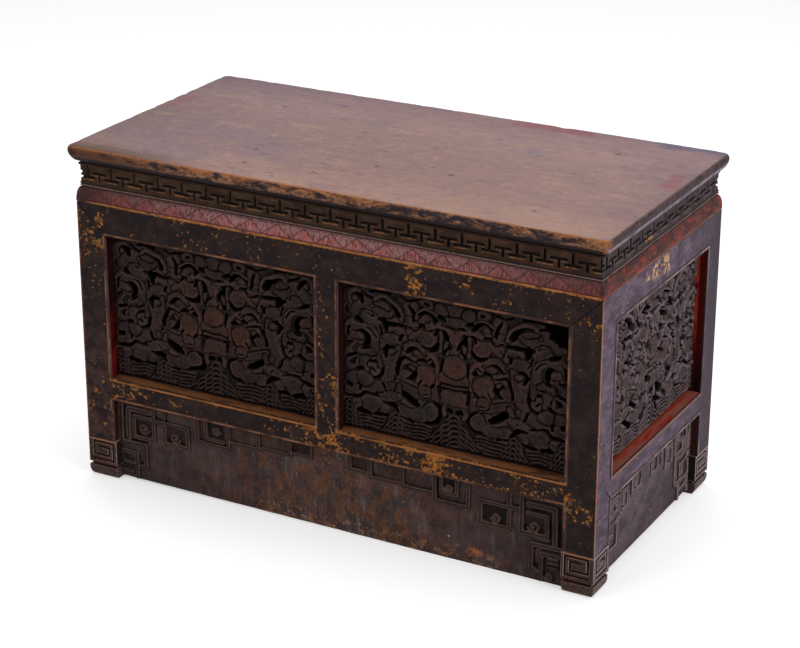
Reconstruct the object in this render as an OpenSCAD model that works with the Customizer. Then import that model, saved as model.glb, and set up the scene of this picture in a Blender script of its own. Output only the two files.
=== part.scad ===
// Carved bench: a low lacquered stand with a waist, pierced panels and boards between its feet.
// Units are millimetres. The front faces -Y, +Z is up, and the origin is on the floor
// under the middle of the top board.

/* [Overall size] */
// Length of the top board
top_l = 703; // [680:1:760]
// Depth of the top board, front to back
top_w = 355.5; // [345:0.5:400]
// Height of the whole bench
total_h = 430; // [424:1:450]
// Thickness of the top board
top_t = 19; // [17:0.5:24]
// How far the top stands out past the frame at the front and the two ends
overhang = 8; // [4:0.5:12]
// How far it stands out past the frame at the back
overhang_back = 1.5; // [1.5:0.5:12]
// How far the rounded under-edge of the top draws in
top_edge_in = 7; // [3:0.5:9]

/* [Waist and moulding] */
// Height of the waist boards between moulding and top
waist_h = 33; // [31:0.5:40]
// Thickness of the waist boards
waist_t = 14; // [12:0.5:16]
// How far the waist stands back from the face of the frame
waist_inset = 5; // [3:0.5:7]
// Height of the convex moulding under the waist
moulding_h = 18; // [14:0.5:22]
// Height of each of the two thin beads at the foot of the waist
waist_bead = 2.2; // [1.6:0.1:2.6]
// Height of the bead at the head of the waist
waist_cap = 4; // [3:0.5:5]
// Gap between the beads, and between a bead and the edge of the waist
waist_bead_gap = 0.8; // [0.4:0.1:1.2]
// Height of the straight lip at the foot of the moulding
moulding_lip = 2; // [1:0.5:4]
// Length of one repeat of the key fret
fret_pitch = 33.3; // [31:0.1:36]
// Width of the cut lines of the key fret
fret_cut = 2.7; // [2:0.1:3.2]
// Depth of the cut lines of the key fret
fret_deep = 2; // [1:0.1:2.5]

/* [Frame] */
// Width of a leg, the same on both faces
leg_w = 40; // [36:0.5:44]
// Thickness of the rails and stiles, from face to inside
rail_t = 30; // [28:0.5:34]
// Height of the apron rails under the moulding
apron_h = 38.5; // [34:0.5:42]
// Height of the rails under the panels
midrail_h = 29; // [27:0.5:34]
// Height of the underside of those rails above the floor
midrail_z = 108; // [104:0.5:114]
// Width of the uprights between two panels
stile_w = 32; // [28:0.5:36]
// Depth of the mitred shoulders that lie over a leg or rail
shoulder_t = 12; // [10:0.5:13]
// Width of the raised bead round each opening
bead_w = 4.5; // [3:0.5:6]
// How far the bead stands out from the face
bead_out = 1.2; // [0.6:0.1:1.6]

/* [Joints] */
// Thickness of the tenons
tenon_t = 8; // [6:0.5:8]
// Length of the tenons of rails and stiles
tenon_l = 15; // [10:0.5:17]
// Wood left above, below and in front of a tenon
tenon_shoulder = 2; // [1:0.5:3]
// Width of the square tenon on top of each leg
leg_tenon_w = 12; // [8:0.5:14]
// Length of that tenon
leg_tenon_l = 9; // [6:0.5:12]
// Thickness of the tongues on panels, low boards and waist boards
tongue_t = 8; // [6:0.5:8]
// Length of the tongues on panels and low boards
tongue_l = 6; // [4:0.5:7]
// Length of the tongues on waist boards
waist_tongue_l = 5; // [3:0.5:6]
// Clearance round a tenon and past the end of a tongue
joint_gap = 0.2; // [0.1:0.05:0.4]
// Diameter of the bamboo pins through waist, moulding and apron
pin_d = 4; // [3:0.5:5]
// Depth that a pin reaches into the apron rail and into the waist
pin_reach = 14; // [10:1:18]

/* [Panels] */
// How far the plain rim of a panel stands back from the frame
panel_inset = 18.5; // [17:0.5:20]
// Visible width of that rim
rim_w = 5; // [3:0.5:7]
// How far the carving stands out in front of the rim
carving_out = 9.5; // [6:0.5:12]
// How far the closed back panels stand out in front of their tongues
back_field_out = 4; // [2:0.5:8]

/* [Low boards and feet] */
// Gap under the low boards
lowboard_z = 2; // [1:0.5:5]
// How far the low boards stand back from the frame
lowboard_inset = 17; // [16:0.5:20]
// Thickness of the low boards
lowboard_t = 13; // [11:0.5:14]
// How far the square spirals stand out from the low boards
spiral_out = 8; // [4:0.5:10]
// Width of the ridges of the square spirals
ridge_w = 3.6; // [2.5:0.1:4.2]
// Height of the foot pad under the leg
pad_h = 14; // [10:0.5:16]
// How far the rounded underside of the pad draws in
pad_in = 6; // [3:0.5:8]
// Height of the groove between pad and foot block
neck_h = 4; // [2:0.5:6]
// Depth of that groove
neck_in = 3; // [1:0.5:4]
// Height of the carved foot block
block_h = 34; // [30:0.5:38]
// How far the foot block stands out past the inner edge of the leg
block_out = 1.2; // [0.5:0.1:2]

/* [Battens under the top] */
// Distance of each batten from the middle
batten_x = 170; // [120:5:220]
// Width of a batten
batten_w = 36; // [28:1:44]
// Height of a batten below the top board
batten_h = 22; // [16:1:26]
// Depth that a batten is let into the top board
batten_let = 4; // [2:0.5:6]
// Length of the stub tenons at its ends
batten_tenon_l = 5; // [3:0.5:7]

/* [Hidden] */
$fn = 48;

// The frame is set back from the top at the front and both ends, and nearly flush with it at the back
body_l = top_l - 2 * overhang;
body_w = top_w - overhang - overhang_back;
face_front = overhang - top_w / 2;
face_back = top_w / 2 - overhang_back;
body_y = (face_front + face_back) / 2;

// Levels, from the floor up
block_z0 = pad_h + neck_h;
block_z1 = block_z0 + block_h;
midrail_z1 = midrail_z + midrail_h;
top_z = total_h - top_t;
waist_z = top_z - waist_h;
apron_z1 = waist_z - moulding_h;
apron_z0 = apron_z1 - apron_h;

// Depths behind a face of the frame
waist_back = waist_inset + waist_t;
waist_tongue_y = waist_inset + (waist_t - tongue_t) / 2;
tenon_y = shoulder_t + tenon_shoulder;
lowboard_tongue_y = lowboard_inset + (lowboard_t - tongue_t) / 2;
lowboard_tongue_z = block_z0 + tenon_shoulder;
leg_tenon_y = waist_back + (leg_w - waist_back - leg_tenon_w) / 2;

// Number of pins along a long and a short side, and the cut that clears a face
long_pins = 4;
short_pins = 2;
past = 5;

// Sides of the frame: 0 front, 1 right, 2 back, 3 left
function half_of(side) = (side % 2 == 0 ? body_l : body_w) / 2;
function opening_of(side) = half_of(side) - leg_w;

// Placing: a side is drawn with x along it, y going inwards from its face, z up

module at_side(side) {
    if (side == 0) translate([0, face_front, 0]) children();
    if (side == 1) translate([body_l / 2, body_y, 0]) rotate(90) children();
    if (side == 2) translate([0, face_back, 0]) rotate(180) children();
    if (side == 3) translate([-body_l / 2, body_y, 0]) rotate(-90) children();
}

// A flat outline in x and z, made solid between two depths
module between_depths(y0, y1) {
    translate([0, y1, 0]) rotate([90, 0, 0]) linear_extrude(y1 - y0) children();
}

// A section in depth and z, drawn out along x
module along_side(x0, x1) {
    translate([x0, 0, 0]) rotate([90, 0, 90]) linear_extrude(x1 - x0) children();
}

// A box given by its low and high corners
module span_box(low, high) {
    translate(low) cube(high - low);
}

// The room of one side, cut at 45 degrees in plan where it meets the next sides
module mitred_room(side, z0, z1, depth, front = 0) {
    h = half_of(side);
    translate([0, 0, z0])
        linear_extrude(z1 - z0)
            polygon([[-h - front, -front], [h + front, -front], [h - depth, depth], [depth - h, depth]]);
}

// Ribbon of even or tapering width along a path, with mitred corners
function unit(v) = v / norm(v);
function side_of(v) = [-v[1], v[0]];
function corner_shift(path, i) =
    let (
        n = len(path),
        before = side_of(unit(path[max(i, 1)] - path[max(i, 1) - 1])),
        after = side_of(unit(path[min(i + 1, n - 1)] - path[min(i + 1, n - 1) - 1]))
    )
    (before + after) / (1 + before * after);
function width_at(w0, w1, i, n) = w0 + (w1 - w0) * i / (n - 1);
module ribbon(path, w0, w1) {
    n = len(path);
    polygon(concat(
        [for (i = [0:n - 1]) path[i] + corner_shift(path, i) * width_at(w0, w1, i, n) / 2],
        [for (i = [n - 1:-1:0]) path[i] - corner_shift(path, i) * width_at(w0, w1, i, n) / 2]
    ));
}
function arc_path(x, y, r0, r1, a0, a1, steps) =
    [for (i = [0:steps])
        let (a = a0 + (a1 - a0) * i / steps, r = r0 + (r1 - r0) * i / steps)
        [x + r * cos(a), y + r * sin(a)]];

// Top board

// Points of the under-edge, from the sharp top arris down and in
edge_steps = 6;
function edge_point(i) =
    let (t = 90 * i / edge_steps)
    [top_edge_in * (1 - cos(t)), top_z + top_t * (1 - sin(t))];
module top_section(half) {
    polygon(concat(
        [for (i = [0:edge_steps]) [edge_point(i)[0] - half, edge_point(i)[1]]],
        [for (i = [edge_steps:-1:0]) [half - edge_point(i)[0], edge_point(i)[1]]]
    ));
}
module waist_ring(y0, y1, z0, z1) {
    difference() {
        span_box([y0 - body_l / 2, face_front + y0, z0], [body_l / 2 - y0, face_back - y0, z1]);
        span_box([y1 - body_l / 2, face_front + y1, z0 - 1], [body_l / 2 - y1, face_back - y1, z1 + 1]);
    }
}
module leg_tenon(gap) {
    x = body_l / 2 - leg_tenon_y;
    y = face_front + leg_tenon_y;
    span_box([x - leg_tenon_w - gap, y - gap, top_z - 1], [x + gap, y + leg_tenon_w + gap, top_z + leg_tenon_l + gap]);
}
module at_corner(right, back) {
    translate([0, body_y, 0])
        mirror([right ? 0 : 1, 0, 0])
            mirror([0, back ? 1 : 0, 0])
                translate([0, -body_y, 0]) children();
}
module batten_let_in(x, gap) {
    span_box(
        [x - batten_w / 2 - gap, face_front + waist_back - gap, top_z - 1],
        [x + batten_w / 2 + gap, face_back - waist_back + gap, top_z + batten_let]);
}
module top_board() {
    color([0.47, 0.36, 0.34])
        difference() {
            intersection() {
                translate([0, -top_w / 2, 0]) between_depths(0, top_w) top_section(top_l / 2);
                along_side(-top_l / 2, top_l / 2) top_section(top_w / 2);
            }
            waist_ring(waist_tongue_y, waist_tongue_y + tongue_t, top_z - 1, top_z + waist_tongue_l + joint_gap);
            for (right = [false, true], back = [false, true]) at_corner(right, back) leg_tenon(joint_gap);
            for (x = [-batten_x, batten_x]) batten_let_in(x, joint_gap);
        }
}

// Battens let into the underside of the top, with stub tenons in the waist boards

module batten_stub(x, gap) {
    reach = batten_tenon_l - waist_back + gap;
    edge = tenon_shoulder - gap;
    span_box(
        [x - batten_w / 4 - gap, face_front - reach, top_z - batten_h + edge],
        [x + batten_w / 4 + gap, face_back + reach, top_z - edge]);
}
module batten(x) {
    color([0.30, 0.22, 0.16]) {
        span_box(
            [x - batten_w / 2, face_front + waist_back, top_z - batten_h],
            [x + batten_w / 2, face_back - waist_back, top_z + batten_let]);
        batten_stub(x, 0);
    }
}

// Waist boards with a T-shaped key fret between beads

// Points of a bead of height h that starts at z and stands out a quarter of its height
waist_bead_steps = 6;
function waist_bead_pts(z, h) =
    [for (i = [0:waist_bead_steps])
        let (t = 180 * i / waist_bead_steps)
        [waist_inset - h / 4 * sin(t), z + h / 2 * (1 - cos(t))]];
waist_bead_z0 = waist_z + waist_bead_gap;
waist_bead_z1 = waist_bead_z0 + waist_bead + waist_bead_gap;
waist_cap_z = top_z - waist_cap - 3 * waist_bead_gap;
module waist_section() {
    low = waist_z - waist_tongue_l;
    high = top_z + waist_tongue_l;
    inner = waist_tongue_y + tongue_t;
    polygon(concat(
        [[waist_inset, waist_z]],
        waist_bead_pts(waist_bead_z0, waist_bead),
        waist_bead_pts(waist_bead_z1, waist_bead),
        waist_bead_pts(waist_cap_z, waist_cap),
        [
            [waist_inset, top_z], [waist_tongue_y, top_z], [waist_tongue_y, high], [inner, high], [inner, top_z],
            [waist_back, top_z], [waist_back, waist_z], [inner, waist_z], [inner, low], [waist_tongue_y, low],
            [waist_tongue_y, waist_z],
        ]
    ));
}
fret_z0 = waist_bead_z1 + waist_bead;
fret_z1 = waist_cap_z;
fret_margin = waist_inset;
fret_bar = fret_pitch * 0.27;
fret_low_bar = fret_z0 + (fret_z1 - fret_z0) * 0.35;
fret_high_bar = fret_z0 + (fret_z1 - fret_z0) * 0.65;
// One T: a bar with a stem that runs out to the edge of the band
module fret_t(x, z_bar, z_end) {
    translate([x - fret_bar, z_bar - fret_cut / 2]) square([2 * fret_bar, fret_cut]);
    translate([x - fret_cut / 2, min(z_bar, z_end)]) square([fret_cut, abs(z_end - z_bar)]);
}
module fret_cuts(side) {
    run = 2 * (half_of(side) - waist_inset - fret_margin);
    count = round(run / fret_pitch);
    step = run / count;
    between_depths(waist_inset - past, waist_inset + fret_deep) {
        for (i = [0:count - 1]) fret_t((i + 0.5) * step - run / 2, fret_high_bar, fret_z0);
        for (i = [1:count - 1]) fret_t(i * step - run / 2, fret_low_bar, fret_z1);
    }
}
module waist(side) {
    color([0.27, 0.21, 0.15])
        difference() {
            at_side(side)
                difference() {
                    intersection() {
                        along_side(-half_of(side), half_of(side)) waist_section();
                        mitred_room(side, waist_z - waist_tongue_l, top_z + waist_tongue_l, waist_back);
                    }
                    fret_cuts(side);
                    pins_of(side, joint_gap);
                }
            if (side % 2 == 0) for (x = [-batten_x, batten_x]) batten_stub(x, joint_gap);
        }
}

// Convex moulding under the waist

bulge_steps = 6;
module moulding_section() {
    polygon(concat(
        [[waist_back, apron_z1], [0, apron_z1]],
        [for (i = [0:bulge_steps])
            let (t = 90 * i / bulge_steps)
            [waist_inset * (1 - cos(t)), apron_z1 + moulding_lip + (moulding_h - moulding_lip) * sin(t)]],
        [[waist_back, waist_z]]
    ));
}
module moulding(side) {
    color([0.55, 0.16, 0.10])
        at_side(side)
            difference() {
                intersection() {
                    along_side(-half_of(side), half_of(side)) moulding_section();
                    mitred_room(side, apron_z1, waist_z, waist_back);
                }
                span_box(
                    [-half_of(side), waist_tongue_y, waist_z - waist_tongue_l],
                    [half_of(side), waist_tongue_y + tongue_t, waist_z + 1]);
                pins_of(side, joint_gap);
            }
}

// Bamboo pins up through apron rail, moulding and waist

module pins_of(side, gap) {
    count = side % 2 == 0 ? long_pins : short_pins;
    step = 2 * opening_of(side) / count;
    for (i = [0:count - 1])
        translate([(i + 0.5) * step - opening_of(side), waist_tongue_y + tongue_t / 2, apron_z1 - pin_reach])
            cylinder(d = pin_d + gap, h = pin_reach + moulding_h + pin_reach + gap);
}
module waist_pins() {
    color([0.62, 0.50, 0.30]) for (side = [0:3]) at_side(side) pins_of(side, 0);
}

// Frame outlines seen from the front of a side

module apron_outline(side) {
    h = half_of(side);
    o = opening_of(side);
    polygon([[-h, apron_z1], [h, apron_z1], [o, apron_z0], [-o, apron_z0]]);
}
module midrail_outline(side) {
    o = opening_of(side);
    tip = midrail_h / 2;
    polygon([
        [-o, midrail_z], [o, midrail_z], [o + tip, midrail_z + tip],
        [o, midrail_z1], [-o, midrail_z1], [-o - tip, midrail_z + tip],
    ]);
}
module stile_outline() {
    w = stile_w / 2;
    polygon([
        [-w, midrail_z1], [0, midrail_z1 - w], [w, midrail_z1],
        [w, apron_z0], [0, apron_z0 + w], [-w, apron_z0],
    ]);
}

// Raised half-round bead, as a section whose back sinks 1 mm into the face
bead_steps = 6;
function bead_section(start) =
    concat([[1, start]],
        [for (i = [0:bead_steps])
            let (t = 180 * i / bead_steps)
            [-bead_out * sin(t), start + bead_w * (1 - cos(t)) / 2]],
        [[1, start + bead_w]]);
module level_bead(z, reach) {
    along_side(-reach, reach) polygon(bead_section(z));
}
module upright_bead(x, z0, z1) {
    translate([0, 0, z0])
        linear_extrude(z1 - z0)
            polygon([for (p = bead_section(x)) [p[1], p[0]]]);
}

// Tenons of a rail, at both ends
module rail_tenons(side, z0, z1, gap) {
    o = opening_of(side);
    span_box(
        [-o - tenon_l - gap, tenon_y - gap, z0 - gap],
        [o + tenon_l + gap, tenon_y + tenon_t + gap, z1 + gap]);
}
apron_tenon_z0 = apron_z0 + tongue_l + tenon_shoulder;
apron_tenon_z1 = apron_z1 - tongue_l;
midrail_tenon_z0 = midrail_z + tongue_l + tenon_shoulder;
midrail_tenon_z1 = midrail_z1 - tongue_l - tenon_shoulder;

// Stub tenons of a stile, up into the apron rail and down into the rail below
module stile_tenons(gap) {
    span_box(
        [-stile_w / 4 - gap, tenon_y - gap, midrail_z1 - midrail_h / 2 - gap],
        [stile_w / 4 + gap, tenon_y + tenon_t + gap, apron_z0 + midrail_h / 2 + gap]);
}
// Slot of that stile's shoulder in the rails
module stile_slot() {
    between_depths(-past, shoulder_t) stile_outline();
}

// Groove for panel tongues round an opening
module panel_grooves(side, gap) {
    for (o = openings(side))
        span_box(
            [o[0] - tongue_l - gap, panel_inset, midrail_z1 - tongue_l],
            [o[1] + tongue_l + gap, panel_inset + tongue_t, apron_z0 + tongue_l + gap]);
}
function openings(side) =
    side % 2 == 0
        ? [[-opening_of(side), -stile_w / 2], [stile_w / 2, opening_of(side)]]
        : [[-opening_of(side), opening_of(side)]];

module apron(side) {
    o = opening_of(side);
    color([0.15, 0.11, 0.10])
        at_side(side)
            difference() {
                union() {
                    intersection() {
                        between_depths(0, shoulder_t) apron_outline(side);
                        mitred_room(side, apron_z0, apron_z1, shoulder_t);
                    }
                    span_box([-o, 0, apron_z0], [o, rail_t, apron_z1]);
                    rail_tenons(side, apron_tenon_z0, apron_tenon_z1, 0);
                    intersection() {
                        level_bead(apron_z0, half_of(side));
                        between_depths(-past, shoulder_t) apron_outline(side);
                    }
                }
                panel_grooves(side, joint_gap);
                if (side % 2 == 0) {
                    stile_slot();
                    stile_tenons(joint_gap);
                }
                pins_of(side, joint_gap);
            }
}

module midrail(side) {
    o = opening_of(side);
    color([0.16, 0.12, 0.10])
        at_side(side)
            difference() {
                union() {
                    between_depths(0, shoulder_t) midrail_outline(side);
                    span_box([-o, 0, midrail_z], [o, rail_t, midrail_z1]);
                    rail_tenons(side, midrail_tenon_z0, midrail_tenon_z1, 0);
                    intersection() {
                        union() {
                            level_bead(midrail_z1 - bead_w, half_of(side));
                            level_bead(midrail_z, half_of(side));
                        }
                        between_depths(-past, shoulder_t) midrail_outline(side);
                    }
                }
                panel_grooves(side, joint_gap);
                lowboard_groove(side, joint_gap);
                if (side % 2 == 0) {
                    stile_slot();
                    stile_tenons(joint_gap);
                }
            }
}

module stile(side) {
    w = stile_w / 2;
    color([0.16, 0.12, 0.10])
        at_side(side)
            difference() {
                union() {
                    between_depths(0, shoulder_t) stile_outline();
                    span_box([-w, 0, midrail_z1], [w, rail_t, apron_z0]);
                    stile_tenons(0);
                    intersection() {
                        for (x = [-w, w - bead_w]) upright_bead(x, midrail_z, apron_z1);
                        between_depths(-past, shoulder_t) stile_outline();
                    }
                }
                panel_grooves(side, joint_gap);
            }
}

// Legs

// Section of the foot pad, in depth and z
pad_steps = 5;
module pad_section(width) {
    polygon(concat(
        [for (i = [0:pad_steps])
            let (t = 90 * i / pad_steps)
            [pad_in * (1 - sin(t)), pad_h * 0.75 * (1 - cos(t))]],
        [[0, pad_h], [width, pad_h], [width, 0]]
    ));
}
// Square spiral cut into the outer face of a foot block
module block_spiral_cuts() {
    x0 = opening_of(0) + ridge_w - block_out;
    x1 = half_of(0) - ridge_w * 1.8;
    z0 = block_z0 + ridge_w;
    z1 = block_z1 - ridge_w;
    g = ridge_w * 0.8;
    ribbon([
        [x1, z0 + g / 2], [x0 + g / 2, z0 + g / 2], [x0 + g / 2, z1 - g / 2], [x1 - g / 2, z1 - g / 2],
        [x1 - g / 2, z0 + ridge_w + 1.5 * g], [x0 + ridge_w + 1.5 * g, z0 + ridge_w + 1.5 * g],
        [x0 + ridge_w + 1.5 * g, z1 - ridge_w - 1.5 * g], [x1 - ridge_w * 1.6 - g, z1 - ridge_w - 1.5 * g],
    ], g, g);
}
// The front right leg; the other three mirror it
module leg_shape() {
    hx = body_l / 2;
    low = [hx - leg_w, face_front, 0];
    difference() {
        union() {
            span_box(low + [0, 0, block_z0 - neck_h / 2], [hx, face_front + leg_w, apron_z1]);
            span_box(low + [0, neck_in, pad_h - 1], [hx - neck_in, face_front + leg_w, block_z0]);
            intersection() {
                span_box(low, [hx, face_front + leg_w, pad_h]);
                at_side(0) along_side(0, hx) pad_section(leg_w);
                at_side(1) along_side(-body_w / 2, 0) pad_section(leg_w);
            }
            span_box(
                [hx - leg_w, face_front + waist_back, apron_z1 - 1],
                [hx - waist_back, face_front + leg_w, top_z]);
            leg_tenon(0);
            for (side = [0, 1])
                at_side(side)
                    mirror([side, 0, 0]) {
                        upright_bead(opening_of(side), block_z1, apron_z1);
                        span_box(
                            [opening_of(side) - block_out, 0, block_z0],
                            [opening_of(side) + 1, lowboard_inset, block_z1]);
                    }
        }
        // a shadow groove all round between the block and the pad
        at_side(0) span_box([0, -past, pad_h], [hx + past, neck_in, block_z0]);
        at_side(1) span_box([-hx, -past, pad_h], [0, neck_in, block_z0]);
        at_side(0) between_depths(-past, fret_deep) block_spiral_cuts();
        at_side(1) mirror([1, 0, 0]) between_depths(-past, fret_deep)
            translate([half_of(1) - half_of(0), 0]) block_spiral_cuts();
        for (side = [0, 1])
            at_side(side) {
                intersection() {
                    between_depths(-past, shoulder_t) apron_outline(side);
                    mitred_room(side, apron_z0 - 1, apron_z1 + 1, shoulder_t, past);
                }
                between_depths(-past, shoulder_t) midrail_outline(side);
                rail_tenons(side, apron_tenon_z0, apron_tenon_z1, joint_gap);
                rail_tenons(side, midrail_tenon_z0, midrail_tenon_z1, joint_gap);
                panel_grooves(side, joint_gap);
                lowboard_groove(side, joint_gap);
            }
    }
}
module leg(right, back) {
    color([0.17, 0.13, 0.12]) at_corner(right, back) leg_shape();
}

// Panels

// The carving is drawn for an opening of this size, then stretched to the real one
draw_w = 286;
draw_h = 184;

// Gaps through the carving: middle, half length, half height, turn
gaps = [
    [37, 157, 8, 4, 20], [77, 155, 5, 7, 30], [126, 164, 5, 5, 0], [16, 138, 4, 7, 0], [32, 120, 9, 3.5, 10],
    [56, 111, 7, 4, -20], [84, 110, 5, 4, 0], [62, 84, 4, 8, 10], [102, 74, 6, 3, 0], [57, 54, 12, 4, 35],
    [20, 41, 3, 10, -20], [32, 28, 7, 3, 10], [86, 41, 11, 4, 0], [102, 27, 7, 2.5, 0], [117, 49, 5, 2.5, 20],
    [33, 104, 4, 4, 0], [124, 118, 5, 5, 0], [129, 84, 3.5, 5, 0], [11, 51, 5, 3, 0], [91, 130, 3, 7, -30],
    [69, 172, 5, 3, 0], [52, 154, 3, 7, 10], [24, 174, 4, 3, 0], [107, 96, 3, 6, 0], [112, 124, 3, 5, 20],
    [70, 137, 6, 3, -20],
];
// Round leaves and petals: middle and radius
leaves = [
    [38, 87, 13], [37, 129, 12], [36, 43, 14], [66, 36, 11], [104, 41, 10], [112, 31, 8], [124, 36, 8],
    [20, 170, 9], [107, 142, 12], [126, 152, 9], [90, 152, 9], [118, 64, 10], [134, 62, 8], [100, 62, 7],
    [104, 108, 6], [128, 100, 6], [108, 84, 6], [69, 94, 6], [52, 96, 5], [50, 171, 7], [36, 153, 5],
];
// Scrolls: middle, radius, first and last angle, width at the start and at the end
scrolls = [
    [18, 133, 16, 15, 170, 8, 5], [37, 130, 12, -60, 250, 5, 3], [36, 154, 14, 10, 170, 6, 5],
    [76, 146, 24, 35, 150, 7, 5], [125, 118, 10, -90, 200, 6, 4], [129, 84, 8, -60, 230, 4, 3],
    [84, 110, 10, -30, 200, 6, 4], [86, 38, 14, 10, 170, 5, 5], [56, 110, 13, 20, 170, 6, 4],
    [57, 54, 15, 190, 330, 6, 5], [126, 164, 9, -120, 150, 5, 4],
];
// Long bodies: path, width at the start and at the end
bodies = [
    [[[78, 60], [84, 80], [80, 98], [88, 116]], 17, 12],
    [[[30, 122], [48, 132], [62, 128], [70, 112]], 7, 12],
    [[[36, 64], [37, 76]], 12, 7],
    [[[24, 66], [23, 112]], 6, 6],
    [[[92, 62], [72, 66], [44, 58], [26, 60]], 9, 6],
    [[[100, 118], [94, 130], [92, 140]], 4, 3],
    [[[106, 116], [101, 128], [100, 138]], 4, 3],
];
module both_ways() {
    children();
    mirror([1, 0]) children();
}
// Stepped mountain: nested chevrons with wavy flanks
module mountain(x, half_base, peak) {
    polygon([
        [x - half_base, rim_w], [x - half_base * 0.55, peak * 0.45], [x - half_base * 0.42, peak * 0.52],
        [x - half_base * 0.22, peak * 0.9], [x, peak], [x + half_base * 0.22, peak * 0.9],
        [x + half_base * 0.42, peak * 0.52], [x + half_base * 0.55, peak * 0.45], [x + half_base, rim_w],
    ]);
}
leaf_sides = 10;
scroll_steps = 5;
gap_step = 45;
module carving_outline() {
    both_ways() {
        for (g = leaves) translate([g[0], g[1]]) circle(r = g[2], $fn = leaf_sides);
        for (s = scrolls) ribbon(arc_path(s[0], s[1], s[2], s[2] * 0.8, s[3], s[4], scroll_steps), s[5], s[6]);
        for (b = bodies) ribbon(b[0], b[1], b[2]);
        mountain(75, 20, 32);
        mountain(136, 16, 36);
    }
    mountain(0, 38, 47);
    translate([0, 105]) circle(r = 14, $fn = 2 * leaf_sides);
    polygon([[-19, 82], [19, 82], [20, 92], [12, 100], [-12, 100], [-20, 92]]);
    polygon([[-19, 57], [19, 57], [15, 77], [-15, 77]]);
    polygon([[-9, 117], [9, 117], [7, 132], [0, 144], [-7, 132]]);
    polygon([[-14, 152], [14, 152], [10, 161], [-10, 161]]);
    translate([0, 171]) circle(r = 11, $fn = leaf_sides);
}
module carving_gaps() {
    both_ways()
        for (g = gaps)
            translate([g[0], g[1]])
                rotate(-g[4])
                    polygon([for (a = [0:gap_step:360 - gap_step]) [g[2] * cos(a), g[3] * sin(a)]]);
}
module stretched(o) {
    translate([(o[0] + o[1]) / 2, midrail_z1])
        scale([(o[1] - o[0]) / draw_w, (apron_z0 - midrail_z1) / draw_h])
            children();
}
module carved_panel(side, index) {
    o = openings(side)[index];
    back = panel_inset + tongue_t;
    color([0.19, 0.14, 0.12])
        at_side(side) {
            // board with its tongues, pierced inside the rim
            difference() {
                span_box(
                    [o[0] - tongue_l, panel_inset, midrail_z1 - tongue_l],
                    [o[1] + tongue_l, back, apron_z0 + tongue_l]);
                between_depths(panel_inset - past, back + past)
                    offset(delta = 0.01) stretched(o) carving_gaps();
            }
            // carving in front of it
            between_depths(panel_inset - carving_out, panel_inset + 1)
                intersection() {
                    translate([o[0] + rim_w, midrail_z1 + rim_w])
                        square([o[1] - o[0] - 2 * rim_w, apron_z0 - midrail_z1 - 2 * rim_w]);
                    offset(delta = 0.01)
                        difference() {
                            stretched(o) carving_outline();
                            stretched(o) carving_gaps();
                        }
                }
        }
}
module closed_panel(side, index) {
    o = openings(side)[index];
    color([0.16, 0.12, 0.10])
        at_side(side) {
            span_box(
                [o[0] - tongue_l, panel_inset, midrail_z1 - tongue_l],
                [o[1] + tongue_l, panel_inset + tongue_t, apron_z0 + tongue_l]);
            span_box(
                [o[0] + rim_w, panel_inset - back_field_out, midrail_z1 + rim_w],
                [o[1] - rim_w, panel_inset + 1, apron_z0 - rim_w]);
        }
}

// Low boards between the feet

module lowboard_groove(side, gap) {
    o = opening_of(side);
    span_box(
        [-o - tongue_l - gap, lowboard_tongue_y, lowboard_tongue_z - gap],
        [o + tongue_l + gap, lowboard_tongue_y + tongue_t, midrail_z + tongue_l + gap]);
}
// Square spiral as a path that winds inwards from its lower outer corner
function square_spiral(x0, x1, z0, z1, step) = [
    [x0, z0], [x0, z1], [x1, z1], [x1, z0 + step / 2], [x0 + step, z0 + step / 2],
    [x0 + step, z1 - step], [x1 - step, z1 - step], [x1 - step, z0 + 1.5 * step],
    [x0 + 2 * step, z0 + 1.5 * step],
];
// Hook that hangs from the rail, with a second line inside it
module hanging_hook(x0, x1, z, top, step) {
    ribbon([[x1, z], [x0, z], [x0, top]], ridge_w, ridge_w);
    ribbon([[x1 - step, z + step], [x0 + step, z + step], [x0 + step, top]], ridge_w * 0.8, ridge_w * 0.8);
}
// Spirals of one half of a board, given by their distance from the leg and below the rail
module long_spirals() {
    ribbon(square_spiral(-57, -9, -55, -8, 9), ridge_w, ridge_w);
    ribbon(square_spiral(-110, -68, -50, -21, 8), ridge_w, ridge_w);
    ribbon([[-68, -52], [-68, 0]], ridge_w, ridge_w);
    ribbon([[-120, 0], [-120, -38], [-167, -38], [-167, 0]], ridge_w, ridge_w);
    ribbon([[-128, 0], [-128, -28], [-158, -28], [-158, -10], [-140, -10], [-140, -19]], ridge_w, ridge_w);
    hanging_hook(-209, -167, -30, 0, 8);
    hanging_hook(-252, -209, -27, 0, 8);
    hanging_hook(-278, -252, -21, 0, 7);
    ribbon([[-7, -58], [-43, -58], [-43, -92], [-35, -92]], ridge_w, ridge_w);
    ribbon([[-7, -67], [-35, -67], [-35, -99]], ridge_w, ridge_w);
    ribbon([[-9, -75], [-27, -75], [-27, -92], [-14, -92], [-14, -85]], ridge_w, ridge_w);
}
module short_spirals() {
    ribbon(square_spiral(-48, -9, -47, -8, 8), ridge_w, ridge_w);
    ribbon(square_spiral(-43, -11, -80, -52, 7), ridge_w, ridge_w);
    ribbon([[-53, 0], [-53, -42], [-79, -42], [-79, 0]], ridge_w, ridge_w);
    ribbon([[-61, 0], [-61, -33], [-71, -33], [-71, -10]], ridge_w, ridge_w);
    ribbon([[-86, 0], [-86, -35], [-118, -35], [-118, 0]], ridge_w, ridge_w);
    ribbon([[-94, 0], [-94, -26], [-110, -26], [-110, -10]], ridge_w, ridge_w);
    ribbon([[-22, -84], [-37, -84], [-37, -97]], ridge_w, ridge_w);
}
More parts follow.
